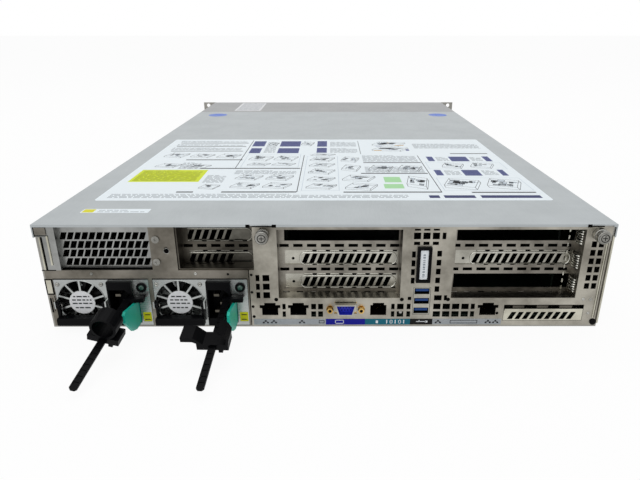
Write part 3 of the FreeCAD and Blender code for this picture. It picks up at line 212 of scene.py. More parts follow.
def film(name, colour, roughness=0.5, gloss=0.15):
    """Satin label film or its ink."""
    material, tree, shader = new_material(name, colour, roughness, IOR=1.5, Specular_IOR_Level=gloss)
    place = add_node(tree, "ShaderNodeTexCoord")
    ripple = add_node(tree, "ShaderNodeTexNoise", {"Scale": 1 / (18 * MM), "Detail": 2.0},
                      Vector=place.outputs["Object"])
    matt = add_node(tree, "ShaderNodeMapRange", {
        "To Min": roughness - 0.05, "To Max": roughness + 0.05}, Value=ripple.outputs["Fac"])
    tree.links.new(matt.outputs["Result"], shader.inputs["Roughness"])
    dent = add_node(tree, "ShaderNodeBump", {"Strength": 0.06, "Distance": 0.0004},
                    Height=ripple.outputs["Fac"])
    tree.links.new(dent.outputs["Normal"], shader.inputs["Normal"])
    return material


white_film = film("white_label_film", "#e4edf2", 0.4, 0.4)
INKS = {
    "navy": "#232a5c", "slate": "#4c5488", "dark": "#1c1e22", "heading": "#3c3e42", "mid": "#6c7379",
    "grey": "#8b939a", "pale": "#c3ced8", "lime": "#d0de25", "green": "#a5d6a0", "amber": "#cfa24a",
    "yellow": "#d9d324", "silver": "#d8d9db", "strip": "#9ea3a7", "blue": "#14188c", "teal": "#1a6477",
    "black": "#0a0a0b", "white": "#dfe4e8",
}
ink = {name: film(name + "_ink", colour) for name, colour in INKS.items()}

# %% [markdown]
# Each CAD node keeps its shape and takes a finish. Where one node holds pieces of several
# materials, the faces of one piece are found by where they lie.

# %% Finishes on the CAD nodes


def finish(material, *names):
    """Gives whole nodes one material."""
    for name in names:
        slots = nodes[name].data.materials
        slots.clear()
        slots.append(material)


def paint(name, material, inside):
    """Gives the faces whose centre passes a test another material."""
    mesh = nodes[name].data
    mesh.materials.append(material)
    index = len(mesh.materials) - 1
    count = 0
    for face in mesh.polygons:
        if inside(face.center / MM):
            face.material_index = index
            count += 1
    print(name, "painted", count, "faces", material.name)


finish(chassis_steel, "rear_panel", "drive_cage")
# The supply cage and the vent panel take the darker steel as painted shade.
finish(shade_painted_steel, "psu_cage", "vent_panel")
finish(side_steel, "chassis_tray", "rack_ears")
# The low profile bracket is painted dark as the shade deep in its bay.
finish(dark_steel_and_shade, "low_profile_riser_bracket")
finish(cover_steel, "top_cover")
finish(front_steel, "front_cover")
finish(bracket_steel, "middle_riser_bracket", "right_riser_bracket")
finish(nickel, "slot_fillers", "usb_ports", "vga_port")
finish(cream_zinc_and_highlight, "io_module_filler")
# The jacks are near-black moulding, and the dark of their cavities is painted shade.
finish(black_and_shade, "rj45_jacks")
finish(screw_steel, "panel_screws")
finish(board_green, "motherboard", "riser_cards", "drive_backplane")
finish(memory_green, "memory_modules")
finish(fin_metal, "cpu_heatsinks")
finish(black_nylon, "air_duct", "tag_holder", "front_panel", "bay_blanks")
finish(fan_plastic, "fan_frames")
finish(button_grey, "power_button", "identify_button")
for number in range(1, 5):
    finish(fan_plastic, f"fan_rotor_{number}")
    finish(drive_metal, f"drive_carrier_{number}")
    finish(black_nylon, f"carrier_lever_{number}")
for supply in ("psu1", "psu2"):
    finish(zinc, supply + "_case", supply + "_face")
    finish(fan_plastic, supply + "_fan_rotor")
    finish(black_nylon, supply + "_inlet", supply + "_handle", supply + "_cord_tie", supply + "_cord_clip")
    finish(teal_latch, supply + "_latch")

GRILLE_RIGHT = -131.0
LOW_BAY_RIGHT = -54.0
paint("vent_panel", grille_steel, lambda place: place.x < GRILLE_RIGHT)
# The low bay's fillers take the darker nickel as painted shade.
paint("slot_fillers", shade_painted_nickel, lambda place: place.x < LOW_BAY_RIGHT)

# %% [markdown]
# The sockets are pressed shells round a moulded insert. The insert of the display socket is blue,
# the tongues of the fast serial sockets are blue, and what lies behind them is painted near black as shade.

# %% Colours inside the sockets
usb_low, usb_high = corners("usb_ports")
vga_low, vga_high = corners("vga_port")
vga_middle = (vga_low.x + vga_high.x) / 2
USB_PITCH = 8.5
USB_WALL = 0.7
VGA_HEIGHT = 16.8


def in_usb_mouth(place):
    """True for the walls inside one of the stacked mouths, which are painted near black as shade."""
    inside = usb_low.x + USB_WALL / 2 < place.x < usb_high.x - USB_WALL / 2
    return inside and usb_low.y + 0.5 < place.y < usb_low.y + 16


def on_usb_tongue(place):
    """True for the tongue in the upper half of a mouth."""
    step = (place.z - usb_high.z + 6.3) % USB_PITCH
    inside = usb_low.x + 1 < place.x < usb_high.x - 1
    return inside and 3 < step < 5.2 and place.y < usb_low.y + 13


# The walls inside each mouth are painted near black as shade.
paint("usb_ports", black_and_shade, in_usb_mouth)
paint("usb_ports", usb_blue, on_usb_tongue)
paint("vga_port", port_blue, lambda place: (
    vga_low.y + 1 < place.y < vga_low.y + 6.6 and abs(place.x - vga_middle) < 7.7
    and abs(place.z - VGA_HEIGHT) < 3.9))
paint("vga_port", gold, lambda place: (
    place.y < vga_low.y + 6.5 and abs(place.x - vga_middle) > 9))

# %% [markdown]
# Small pressed and turned pieces are made from an outline that is pushed through a depth, or from
# a profile that is turned about an axis. Both helpers below work in millimetres in the server's
# own frame, and a narrow bevel gives each edge the glint that a real edge has.

# %% Mesh helpers


def seen_from_rear(across, up, depth):
    """A place on a drawing of the rear: depth grows towards the front of the server."""
    return across, depth, up


def seen_from_top(across, along, height):
    """A place on a drawing of the top."""
    return across, along, height


def seen_from_side(along, up, across):
    """A place on a drawing of the side."""
    return across, along, up


def prism(bm, outline, low, high, view):
    """Adds a closed prism over an outline."""
    rings = [[bm.verts.new(Vector(view(u, v, w)) * MM) for u, v in outline] for w in (low, high)]
    bm.faces.new(rings[0])
    bm.faces.new(rings[1][::-1])
    for i in range(len(outline)):
        j = (i + 1) % len(outline)
        bm.faces.new((rings[0][j], rings[0][i], rings[1][i], rings[1][j]))


INWARDS = (0, 1, 0)
UPWARDS = (0, 0, 1)


def skin_rings(bm, rings):
    """Closes a stack of rings of equal count into one solid."""
    count = len(rings[0])
    for near, far in zip(rings, rings[1:]):
        for i in range(count):
            j = (i + 1) % count
            bm.faces.new((near[i], near[j], far[j], far[i]))
    bm.faces.new(rings[0][::-1])
    bm.faces.new(rings[-1])


def turned(bm, profile, centre, axis=INWARDS, steps=32):
    """Adds a shape turned about an axis through a centre; the profile is radius and depth."""
    turn_axis = Vector(axis)
    first = turn_axis.orthogonal().normalized()
    second = turn_axis.cross(first)
    rings = []
    for radius, depth in profile:
        ring = []
        for i in range(steps):
            angle = 2 * math.pi * i / steps
            out = first * math.cos(angle) + second * math.sin(angle)
            ring.append(bm.verts.new((Vector(centre) + out * radius + turn_axis * depth) * MM))
        rings.append(ring)
    skin_rings(bm, rings)


def box_outline(x0, z0, x1, z1):
    """A rectangle from its low and high corner."""
    return [(x0, z0), (x1, z0), (x1, z1), (x0, z1)]


def rounded(x0, z0, x1, z1, radius, steps=5):
    """A rectangle with round corners."""
    points = []
    middles = ((x1 - radius, z0 + radius, -90), (x1 - radius, z1 - radius, 0),
               (x0 + radius, z1 - radius, 90), (x0 + radius, z0 + radius, 180))
    for x, z, start in middles:
        for i in range(steps + 1):
            angle = math.radians(start + 90 * i / steps)
            points.append((x + radius * math.cos(angle), z + radius * math.sin(angle)))
    return points


def add_object(name, data):
    """A new object, linked into the scene."""
    thing = bpy.data.objects.new(name, data)
    bpy.context.scene.collection.objects.link(thing)
    return thing


def make_piece(name, bm, material, body, bevel=0.0, smooth=False):
    """Turns a finished bmesh into a piece that rides on a body."""
    bmesh.ops.recalc_face_normals(bm, faces=bm.faces)
    if bevel:
        sharp = [edge for edge in bm.edges if edge.is_manifold and edge.calc_face_angle() > 0.5]
        bmesh.ops.bevel(bm, geom=sharp, offset=bevel * MM, segments=2, affect="EDGES", profile=0.6)
    mesh = bpy.data.meshes.new(name)
    bm.to_mesh(mesh)
    bm.free()
    for face in mesh.polygons:
        face.use_smooth = smooth
    mesh.materials.append(material)
    thing = add_object(name, mesh)
    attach(thing, body)
    return thing


# %% [markdown]
# The service label covers the rear of the lid. It is one sheet of film, printed with panels,
# headings, small diagrams and rows of text. The print here is generic: bars stand for lines of
# text, and plain blocks stand for diagrams. Everything is placed from the label's own corner.

# %% The service label
FILM = 0.05
INK = 0.02
lid_low, lid_high = corners("top_cover")
film_top = lid_high.z + FILM
LABEL_WIDE = 390.0
LABEL_LONG = 270.0
LABEL_X = -196.0
LABEL_Y = lid_low.y + 61


def lay_film(name, x, y, wide, long, material, body, corner=3.0):
    """One sheet of label film on top of the server."""
    bm = bmesh.new()
    sheet = rounded(x, y, x + wide, y + long, corner)
    prism(bm, sheet, lid_high.z - 0.1, film_top, seen_from_top)
    return make_piece(name, bm, material, body)


def print_outlines(name, colour, outlines, raised=0.0, x=LABEL_X, y=LABEL_Y, body="top_cover"):
    """Ink outlines on a label, measured from its own corner."""
    bm = bmesh.new()
    for outline in outlines:
        placed = [(x + u, y + v) for u, v in outline]
        prism(bm, placed, film_top - INK / 2, film_top + INK + raised, seen_from_top)
    return make_piece(name, bm, ink[colour], body)


def print_blocks(name, colour, blocks, x=LABEL_X, y=LABEL_Y, body="top_cover"):
    """Ink blocks on a label, each given as left, near, wide, long from the label's corner."""
    outlines = [box_outline(u, v, u + wide, v + long) for u, v, wide, long in blocks]
    return print_outlines(name, colour, outlines, 0.0, x, y, body)


def text_rows(u, v, wide, rows, pitch=3.2, tall=1.1, word=6.0):
    """Rows of bars in place of lines of text."""
    bars = []
    for row in range(rows):
        start = u
        end = u + wide * (1 if row < rows - 1 else 0.6)
        while start < end - 1:
            length = min(word * chance.uniform(0.4, 1.5), end - start)
            bars.append((start, v + row * pitch, length, tall))
            start += length + 1.2
    return bars


lay_film("service_label", LABEL_X, LABEL_Y, LABEL_WIDE, LABEL_LONG, white_film, "top_cover")
print_blocks("label_yellow_panel", "lime", [(8, 60, 67, 47)])
HEADINGS = (
    (65, 111.5, 104, 3.4), (63, 24, 15, 3.4), (103, 24, 67, 3.4), (41, 151, 62, 3.4),
    (12, 245, 85, 2.6), (12, 224, 85, 2.6), (12, 197, 85, 2.6), (236, 137.5, 62, 3.2),
    (231, 90.5, 67, 3.2), (212, 23.5, 87, 3.2), (326, 22.5, 57, 3.2), (339, 182.5, 43, 3.2),
)
print_blocks("label_headings", "heading", HEADINGS)
TITLE_WORDS = ((286, 9), (299, 27), (331, 52))
print_blocks("label_title_bars", "navy", [(u, 7, wide, 8) for u, wide in TITLE_WORDS])
SLATE_BLOCKS = (
    (104, 226, 15, 32), (138, 225, 25, 33), (105, 187, 13, 28), (138, 187, 25, 28), (184, 224, 12, 35),
    (184, 189, 12, 28), (308, 146, 7, 22), (333, 145, 20, 23), (371, 145, 7, 24), (306, 84, 7, 22),
    (334, 83, 17, 23), (371, 83, 6, 24),
)
print_blocks("label_diagram_blocks", "slate", SLATE_BLOCKS)
cells = []
for u, v, wide, long in SLATE_BLOCKS:
    rows = round(long / 5)
    cells += [(u + 1, v + 1.4 + long / rows * row, wide - 2, 0.72) for row in range(rows)]
print_blocks("label_diagram_lines", "pale", cells)
print_blocks("label_green_board", "green", [(250, 37, 18, 15), (252, 58, 16, 20)])
DIVIDERS = ((101, 114, 0.8, 149), (170, 26, 0.8, 150), (235, 182, 0.6, 76), (299, 24, 0.8, 150))
print_blocks("label_dividers", "heading", DIVIDERS)
frames = []
for u, v, wide, long in ((106, 118, 60, 62), (174, 30, 34, 140), (303, 30, 80, 44), (303, 110, 80, 30)):
    frames += [(u, v, wide, 0.5), (u, v + long, wide, 0.5), (u, v, 0.5, long), (u + wide, v, 0.5, long)]
print_blocks("label_boxes", "pale", frames)
rows = text_rows(8, 8, 260, 4, 3.4) + text_rows(104, 90, 62, 5) + text_rows(236, 96, 60, 8)
rows += text_rows(79, 58, 19, 9) + text_rows(10, 204, 84, 5) + text_rows(10, 231, 84, 3)
rows += text_rows(10, 252, 84, 3) + text_rows(122, 190, 13, 20) + text_rows(200, 226, 32, 9)
rows += text_rows(200, 190, 32, 8) + text_rows(318, 148, 13, 6) + text_rows(356, 148, 12, 6)
rows += text_rows(316, 86, 15, 6) + text_rows(354, 86, 14, 6)
rows += text_rows(302, 214, 80, 9) + text_rows(236, 144, 60, 10) + text_rows(42, 112, 20, 9)
print_blocks("label_text_bars", "mid", rows)
print_blocks("label_caution_bars", "dark", text_rows(11, 64, 60, 11, 3.8, 1.0, 9.0))
print("label blocks", len(rows) + len(cells))

# %% [markdown]
# Between the text stand small line drawings of parts pulled out of the server. Each one here is a
# slanted box in thin strokes with a few shaded faces and loose strokes on it, which reads as such
# a drawing from any distance without showing a real one.

# %% Line drawings
BOX_LIFT = 0.2


def stroke(start, end, line=0.45):
    """A thin straight line as an outline."""
    ahead = Vector((end[0] - start[0], end[1] - start[1])).normalized() * line / 2
    return [(start[0] + ahead.y, start[1] - ahead.x), (end[0] + ahead.y, end[1] - ahead.x),
            (end[0] - ahead.y, end[1] + ahead.x), (start[0] - ahead.y, start[1] + ahead.x)]


def part_drawing(u, v, wide, long):
    """Strokes and shaded faces of a slanted box with small parts on it."""
    def at(across, along, lift=0.0):
        """A place on the box, each share from 0 to 1."""
        return (u + wide * (0.75 * across + 0.25 * along),
                v + long * (0.6 * along - 0.2 * across + 0.2 + lift))

    low, high = [[at(across, along, lift) for across, along in box_outline(0, 0, 1, 1)]
                 for lift in (0, BOX_LIFT)]
    lines = [stroke(high[i], high[(i + 1) % 4]) for i in range(4)]
    lines += [stroke(low[i], high[i]) for i in range(4)]
    lines += [stroke(low[i], low[(i + 1) % 4]) for i in range(3)]
    shades = []
    for _ in range(int(wide * long / 100) + 2):
        across, along = chance.uniform(0.05, 0.75), chance.uniform(0.05, 0.7)
        reach, depth = chance.uniform(0.08, 0.25), chance.uniform(0.1, 0.3)
        face = [at(a, b, BOX_LIFT) for a, b in box_outline(across, along, across + reach, along + depth)]
        lines += [stroke(face[i], face[(i + 1) % 4], 0.4) for i in range(4)]
        shades.append(face)
    return lines, shades


DRAWINGS = (
    (112, 124, 24, 15), (138, 124, 25, 15), (110, 146, 26, 28), (138, 146, 26, 28), (178, 34, 28, 20),
    (178, 60, 27, 20), (178, 88, 27, 24), (178, 118, 27, 20), (178, 144, 27, 24), (80, 34, 18, 18),
    (108, 36, 26, 22), (138, 36, 26, 22), (108, 66, 26, 22), (138, 64, 26, 24), (12, 162, 26, 28),
    (42, 162, 26, 22), (72, 160, 26, 24), (214, 30, 30, 26), (212, 60, 32, 26), (272, 34, 22, 48),
    (16, 116, 26, 20), (48, 112, 26, 20), (178, 172, 28, 12), (212, 100, 20, 30), (212, 140, 20, 28),
    (240, 98, 26, 30), (270, 98, 26, 30), (306, 32, 36, 40), (346, 32, 34, 40), (318, 112, 24, 26),
    (348, 112, 26, 26), (124, 230, 12, 22), (164, 228, 16, 28), (250, 196, 44, 26), (252, 224, 42, 30),
)
drawn, shaded = [], []
for place in DRAWINGS:
    lines, shades = part_drawing(*place)
    drawn += lines
    shaded += shades
print_outlines("label_drawing_shades", "grey", shaded[::2])
print_outlines("label_drawing_tints", "pale", shaded[1::2])
print_outlines("label_drawing_lines", "heading", drawn, 0.01)
print_blocks("label_amber_print", "amber", [(252, 200, 9, 3), (280, 230, 11, 3), (268, 246, 12, 2)])
print_blocks("label_blue_print", "slate", [(270, 206, 8, 2), (256, 226, 8, 2), (290, 200, 4, 8)])
print("drawing strokes", len(drawn), "shades", len(shaded))

# %% [markdown]
# Three smaller things lie on the lid: a narrow strip label near the rear edge, a silver rating
# label without any print that names a maker, and two round blue touch points that show where the
# lid is held. A touch point is a soft moulded disc with a raised rim.

# %% Small labels and touch points
STRIP_X = -194.0
STRIP_Y = lid_low.y + 28
lay_film("strip_label", STRIP_X, STRIP_Y, 54, 10, white_film, "top_cover", 1.0)
print_blocks("strip_label_end", "yellow", [(1, 1, 9, 8)], STRIP_X, STRIP_Y)
print_blocks("strip_label_bars", "grey", text_rows(13, 2, 38, 2, 4.0, 1.2, 5), STRIP_X, STRIP_Y)
SILVER_X = -164.0
SILVER_Y = lid_low.y + 594
lay_film("rating_label", SILVER_X, SILVER_Y, 46, 102, ink["silver"], "chassis", 2.0)
rating = text_rows(4, 6, 38, 26, 3.6, 1.1, 7)
print_blocks("rating_label_bars", "grey", rating, SILVER_X, SILVER_Y, "chassis")
TOUCH_ALONG = 545.0
TOUCH_ACROSS = 183.0
for side, across in (("left", -TOUCH_ACROSS), ("right", TOUCH_ACROSS)):
    bm = bmesh.new()
    profile = ((0.2, 0.02), (12.4, 0.02), (13.4, 0.12), (14.6, 0.12), (15.2, 0.0), (15.2, -0.4), (0.2, -0.4))
    turned(bm, profile, (across, lid_low.y + TOUCH_ALONG, lid_high.z), UPWARDS, 48)
    make_piece("touch_point_" + side, bm, touch_blue, "top_cover", smooth=True)

# %% [markdown]
# Under the ports runs a strip of film that shows each port's use by colour and by a plain mark:
# linked squares for the network, an outline for the display, bars and frames for the serial port.

# %% The port strip
rear_face = corners("rear_panel")[0].y
STRIP_LOW = 1.7
STRIP_HIGH = 6.9


def rear_print(name, colour, outlines, proud=0.08, body="chassis"):
    """Film or ink shapes on the rear panel."""
    bm = bmesh.new()
    for outline in outlines:
        prism(bm, outline, rear_face - proud, rear_face + 0.02, seen_from_rear)
    return make_piece(name, bm, ink[colour], body)


BANDS = (("strip", -57.0, 0.6), ("blue", 0.6, 32.0), ("teal", 32.0, 68.0),
         ("black", 68.0, 86.0), ("strip", 86.0, 141.0))
for number, (colour, start, end) in enumerate(BANDS):
    rear_print(f"port_strip_band_{number + 1}", colour, [box_outline(start, STRIP_LOW, end, STRIP_HIGH)])


def network_mark(x, z=2.9):
    """Three linked squares."""
    return [box_outline(x, z, x + 1.6, z + 1.2), box_outline(x + 3.4, z, x + 5, z + 1.2),
            box_outline(x + 1.7, z + 1.7, x + 3.3, z + 2.9), box_outline(x + 0.6, z + 1.3, x + 4.4, z + 1.6)]


def frame_mark(x, z, wide, high, line=0.5):
    """The outline of a rectangle."""
    return [box_outline(x, z, x + wide, z + line), box_outline(x, z + high - line, x + wide, z + high),
            box_outline(x, z, x + line, z + high), box_outline(x + wide - line, z, x + wide, z + high)]


marks = network_mark(-50) + network_mark(-43.5) + network_mark(-21) + frame_mark(-5, 3, 4.5, 2.6)
marks += network_mark(88) + frame_mark(100, 2.8, 22, 3) + network_mark(128) + network_mark(134)
rear_print("port_strip_marks", "dark", marks, 0.11)
pale_marks = frame_mark(8, 2.6, 7, 3.4) + [box_outline(40.6, 3, 42.4, 5.4)]
for number in range(5):
    x = 49 + number * 3.4
    pale_marks += [box_outline(x, 2.7, x + 0.8, 6)] if number % 2 == 0 else frame_mark(x - 0.6, 2.7, 2.2, 3.3)
pale_marks += [box_outline(73, 4.1, 81, 4.7), box_outline(80, 3.6, 82, 5.2), box_outline(75, 4.3, 75.6, 5.8)]
rear_print("port_strip_pale_marks", "white", pale_marks, 0.11)

# %% [markdown]
# Each slot filler is a pressed plate. Its vents sit in a shallow recess whose rolled rim catches
# the light, and a strip of spring fingers runs along both long edges to seal the slot against
# radio noise. The rim is a closed wire with round ends, brighter than the plate in the middle and right bays
# as a painted highlight; the fingers are short, slightly bowed tabs with a dark gap after each, a dark plate
# of painted shade. The low profile bay lies deeper in shade, so its metal is painted darker, a painted shade.

# %% Slots of the riser brackets
SLOT_PITCH = 20.32
FIRST_SLOT = 9.2
SLOT_HALF = 6.1
SHEET = 1.0
BAYS = {}
for bay, bracket in (("low", "low_profile_riser_bracket"), ("middle", "middle_riser_bracket"),
                     ("right", "right_riser_bracket")):
    low, high = corners(bracket)
    BAYS[bay] = (low.x + SHEET, high.x - SHEET)
slot_floor = corners("middle_riser_bracket")[0].z
filler_face = corners("slot_fillers")[0].y
plate_face = filler_face - SHEET
FILLERS = (("low", 1), ("low", 2), ("middle", 0), ("middle", 1), ("right", 1))
TAB_WIDE = 17.0
print("slot bays", BAYS)


def slot_middle(number):
    """The height of a slot's middle."""
    return slot_floor + FIRST_SLOT + SLOT_PITCH * number


def wire_loop(bm, centre_line, radius, steps=8):
    """Adds a closed round wire along a loop of places in millimetres."""
    count = len(centre_line)
    rings = []
    for i, middle in enumerate(centre_line):
        ahead = (centre_line[(i + 1) % count] - centre_line[i - 1]).normalized()
        out = Vector(INWARDS)
        across = ahead.cross(out)
        rings.append([bm.verts.new((middle + (out * math.cos(a) + across * math.sin(a)) * radius) * MM)
                      for a in (2 * math.pi * k / steps for k in range(steps))])
    for i in range(count):
        near, far = rings[i], rings[(i + 1) % count]
        for k in range(steps):
            j = (k + 1) % steps
            bm.faces.new((near[k], near[j], far[j], far[k]))


def wire_ring(bm, x, y, z, radius, wire, points):
    """Adds a round wire ring on the rear, round a place given by x, y and z."""
    turns = [2 * math.pi * k / points for k in range(points)]
    wire_loop(bm, [Vector((x + radius * math.cos(a), y, z + radius * math.sin(a))) for a in turns], wire, 6)


FINGER_PITCH = 10.6
FINGER_WIDE = 6.4


def finger_row(bm, gaps, start, end, height, towards, reach):
    """Adds low spring fingers along a slot's edge and dark plates of painted shade in the gaps between them.
    """
    count = int((end - start) / FINGER_PITCH)
    slack = (end - start - count * FINGER_PITCH) / 2
    for number in range(count):
        x = start + slack + number * FINGER_PITCH + (FINGER_PITCH - FINGER_WIDE) / 2
        arch = [(plate_face + 0.2 - 0.7 * math.sin(math.pi * t / 6), height + towards * reach * t / 6)
                for t in range(7)]
        back = [(y + 0.3, z) for y, z in reversed(arch)]
        prism(bm, arch + back, x, x + FINGER_WIDE, seen_from_side)
        gap = x + FINGER_WIDE + 0.3
        low = height + min(0, towards * reach * 0.8)
        prism(gaps, box_outline(gap, low, gap + FINGER_PITCH - FINGER_WIDE - 0.8, low + reach * 0.7),
              plate_face - 0.08, plate_face + 0.1, seen_from_rear)


RIM = 0.55
RIM_GAP = 0.6
VENT_HALF = 4.6
VENT_DROP = 1.2
UPPER_REACH = 2.0
LOWER_REACH = 1.4
for bay, number in FILLERS:
    left, right = BAYS[bay]
    middle = slot_middle(number)
    plain = 2.0 if bay == "low" else TAB_WIDE
    name = f"{bay}_slot_{number + 1}"
    rim = rounded(left + plain - RIM_GAP, middle - VENT_DROP - VENT_HALF - RIM_GAP, right - 2.2,
                  middle - VENT_DROP + VENT_HALF + RIM_GAP, VENT_HALF, 6)
    bm = bmesh.new()
    wire_loop(bm, [Vector((x, filler_face - 0.1, z)) for x, z in rim], RIM)
    # The low bay's rim and fingers take darker copies as painted shade; in the other bays the rim is the
    # bright strip steel as a painted highlight.
    rim_metal, finger_metal = (nickel, shade_painted_nickel) if bay == "low" else (spring_steel_and_highlight, nickel)
    make_piece(name + "_vent_rim", bm, rim_metal, "chassis", smooth=True)
    bm, gaps = bmesh.new(), bmesh.new()
    finger_row(bm, gaps, left + plain, right - 3, middle + SLOT_HALF + RIM_GAP, -1, UPPER_REACH)
    finger_row(bm, gaps, left + plain, right - 3, middle - SLOT_HALF - RIM_GAP, 1, LOWER_REACH)
    make_piece(name + "_spring_fingers", bm, finger_metal, "chassis")
    # The gaps are dark plates of painted shade.
    make_piece(name + "_finger_gaps", gaps, black_and_shade, "chassis")

# %% [markdown]
# The right bay also carries loose spring fingers on its right-hand wall, where a full-length card
# would press. They are thin bright strips, each bowed a little differently.

# %% Side spring fingers
side_right = BAYS["right"][1]
SIDE_PITCH = 2.0
SIDE_WIDE = 1.3
TIP_PITCH = 6.2
TIP_TALL = 3.4
for number in range(3):
    bm = bmesh.new()
    for step in range(6):
        base = slot_middle(number) - 5.6 + step * SIDE_PITCH
        bow = chance.uniform(1.5, 3.0)
        arch = [(side_right - 0.4 - bow * math.sin(math.pi * t / 8), plate_face - 11 + 1.35 * t)
                for t in range(9)]
        strip = arch + [(x + 0.35, y) for x, y in reversed(arch)]
        prism(bm, strip, base, base + SIDE_WIDE, seen_from_top)
    make_piece(f"side_spring_fingers_{number + 1}", bm, spring_steel_and_highlight, "chassis", smooth=True)
bm = bmesh.new()
for number in range(9):
    start = slot_floor + 1.5 + number * TIP_PITCH
    prism(bm, rounded(side_right - 6.4, start, side_right - 5.2, start + TIP_TALL, 0.5, 3),
          plate_face - 0.5, plate_face - 0.1, seen_from_rear)
make_piece("side_finger_tips", bm, spring_steel_and_highlight, "chassis")

# %% [markdown]
# A captive thumbscrew is turned from bar. Its head is knurled so that fingers grip it, and the
# lathe leaves rings on its face. The knurl here is a ring of 36 ridges: a turned shape whose
# radius rises and falls with the angle.

# %% Thumbscrews
RIDGES = 36
RIDGE = 0.32
HEAD_LONG = 10.0


def knurled_head(bm, centre, radius, start, length):
    """Adds the ridged barrel of a head from its face inwards."""
    steps = RIDGES * 4
    rings = []
    for depth, scale, ridge in ((0.0, 0.9, 0.0), (0.5, 0.985, 0.3), (1.0, 1.0, 1.0),
                                (length * 0.45, 1.0, 1.0), (length * 0.5, 0.9, 0.0),
                                (length * 0.56, 0.9, 0.0), (length * 0.62, 1.0, 1.0),
                                (length - 0.6, 1.0, 1.0), (length, 0.93, 0.0)):
        ring = []
        for i in range(steps):
            angle = 2 * math.pi * i / steps
            lift = radius * scale - RIDGE * ridge * (0.5 + 0.5 * math.cos(angle * RIDGES))
            ring.append(bm.verts.new(Vector((
                centre[0] + lift * math.cos(angle), start + depth, centre[1] + lift * math.sin(angle))) * MM))
        rings.append(ring)
    skin_rings(bm, rings)


for side in ("left", "right"):
    name = "riser_thumbscrew_" + side
    low, high = corners(name)
    middle = ((low.x + high.x) / 2, (low.z + high.z) / 2)
    radius = (high.z - low.z) / 2
    bm = bmesh.new()
    knurled_head(bm, middle, radius, low.y + 0.4, HEAD_LONG - 0.4)
    turned(bm, ((radius * 0.84, 0.35), (radius * 0.84, 0.0), (radius * 0.62, 0.0), (radius * 0.6, 0.35),
                (radius * 0.52, 0.35), (radius * 0.5, 0.05), (0.3, 0.05)),
           (middle[0], low.y, middle[1]), INWARDS, 40)
    turned(bm, ((1.9, HEAD_LONG), (1.9, high.y - low.y - 0.4), (1.5, high.y - low.y)),
           (middle[0], low.y, middle[1]), INWARDS, 16)
    screw = make_piece(name + "_knurled", bm, screw_steel, name)
    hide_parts(name)
    # The cross recess is a dark inlay of painted shade.
    bm = bmesh.new()
    arm = radius * 0.36
    for wide, tall in ((arm, 0.28), (0.28, arm)):
        prism(bm, box_outline(middle[0] - wide, middle[1] - tall, middle[0] + wide, middle[1] + tall),
              low.y - 0.02, low.y + 0.2, seen_from_rear)
    make_piece(name + "_recess", bm, black_and_shade, name)

# %% [markdown]
# Inside each modular jack eight gold wires slope down from the rear of the cavity. They are the
# part of a jack that a plug really meets, so they are modelled one by one.

# %% Jack contacts
jack_face = corners("rj45_jacks")[0].y
JACK_STARTS = (-49.7, -27.3, 36.2, 123.2)
CONTACT_PITCH = 1.02
FIRST_CONTACT = 2.4
CONTACT_WIDE = 0.4
for number, start in enumerate(JACK_STARTS):
    bm = bmesh.new()
    for wire in range(8):
        x = start + FIRST_CONTACT + wire * CONTACT_PITCH
        slope = [(jack_face + 5, 12.4), (jack_face + 5.3, 12.2),
                 (jack_face + 15, 16.2), (jack_face + 15, 16.6)]
        prism(bm, slope, x, x + CONTACT_WIDE, seen_from_side)
    make_piece(f"jack_contacts_{number + 1}", bm, gold, "chassis")

# %% [markdown]
# The display socket's blue insert has fifteen holes in three rows, the middle row set half a pitch
# to one side. Each hole is a dark disc of painted shade just proud of the insert. The jack posts each side
# are six-sided nuts with a threaded hole, drawn as a dark disc of painted shade too.

# %% Display socket
PIN_PITCH = 2.3
ROW_PITCH = 1.98
insert_face = vga_low.y + 5.0
bm = bmesh.new()
for row, shift in ((-1, 0.0), (0, PIN_PITCH / 2), (1, 0.0)):
    for column in range(5):
        x = vga_middle + (column - 2) * PIN_PITCH + shift - PIN_PITCH / 4
        turned(bm, ((0.5, -0.06), (0.5, 0.0), (0.05, 0.01)), (x, insert_face, VGA_HEIGHT + row * ROW_PITCH),
               INWARDS, 10)
make_piece("display_pin_holes", bm, black_and_shade, "chassis")
bm = bmesh.new()
for sign in (-1, 1):
    turned(bm, ((1.35, -0.06), (1.35, 0.0), (0.05, 0.01)),
           (vga_middle + sign * 12.35, vga_low.y + 1.0, VGA_HEIGHT - 1), INWARDS, 14)
make_piece("display_post_holes", bm, black_and_shade, "chassis")

# %% [markdown]
# The tag frame is black nylon with a bare white card in it. The card carries only grey bars.

# %% Tag card
tag_low, tag_high = corners("tag_holder")
TAG_RIM = 2.2
card_face = tag_high.y - SHEET
bm = bmesh.new()
prism(bm, rounded(tag_low.x + TAG_RIM + 0.3, tag_low.z + TAG_RIM + 0.3, tag_high.x - TAG_RIM - 0.3,
                  tag_high.z - TAG_RIM - 0.3, 1.0), card_face - 0.3, card_face + 0.1, seen_from_rear)
make_piece("tag_card", bm, ink["white"], "chassis")
bm = bmesh.new()
row = tag_low.z + TAG_RIM + 2.2
while row < tag_high.z - TAG_RIM - 3:
    tall = chance.uniform(0.7, 2.0)
    prism(bm, box_outline(tag_low.x + 4.6, row, tag_low.x + 6.4, row + tall), card_face - 0.34, card_face,
          seen_from_rear)
    row += tall + chance.uniform(0.5, 1.1)
make_piece("tag_card_bars", bm, ink["grey"], "chassis")

# %% [markdown]
# Each power supply's face carries what a maker fits to it: four small screws round the fan guard,
# a shallow ring pressed round the fan opening, a status lens in a black collar, a plain yellow
# sticker without a sign, and a pale disc on the guard's hub with bars in place of print.

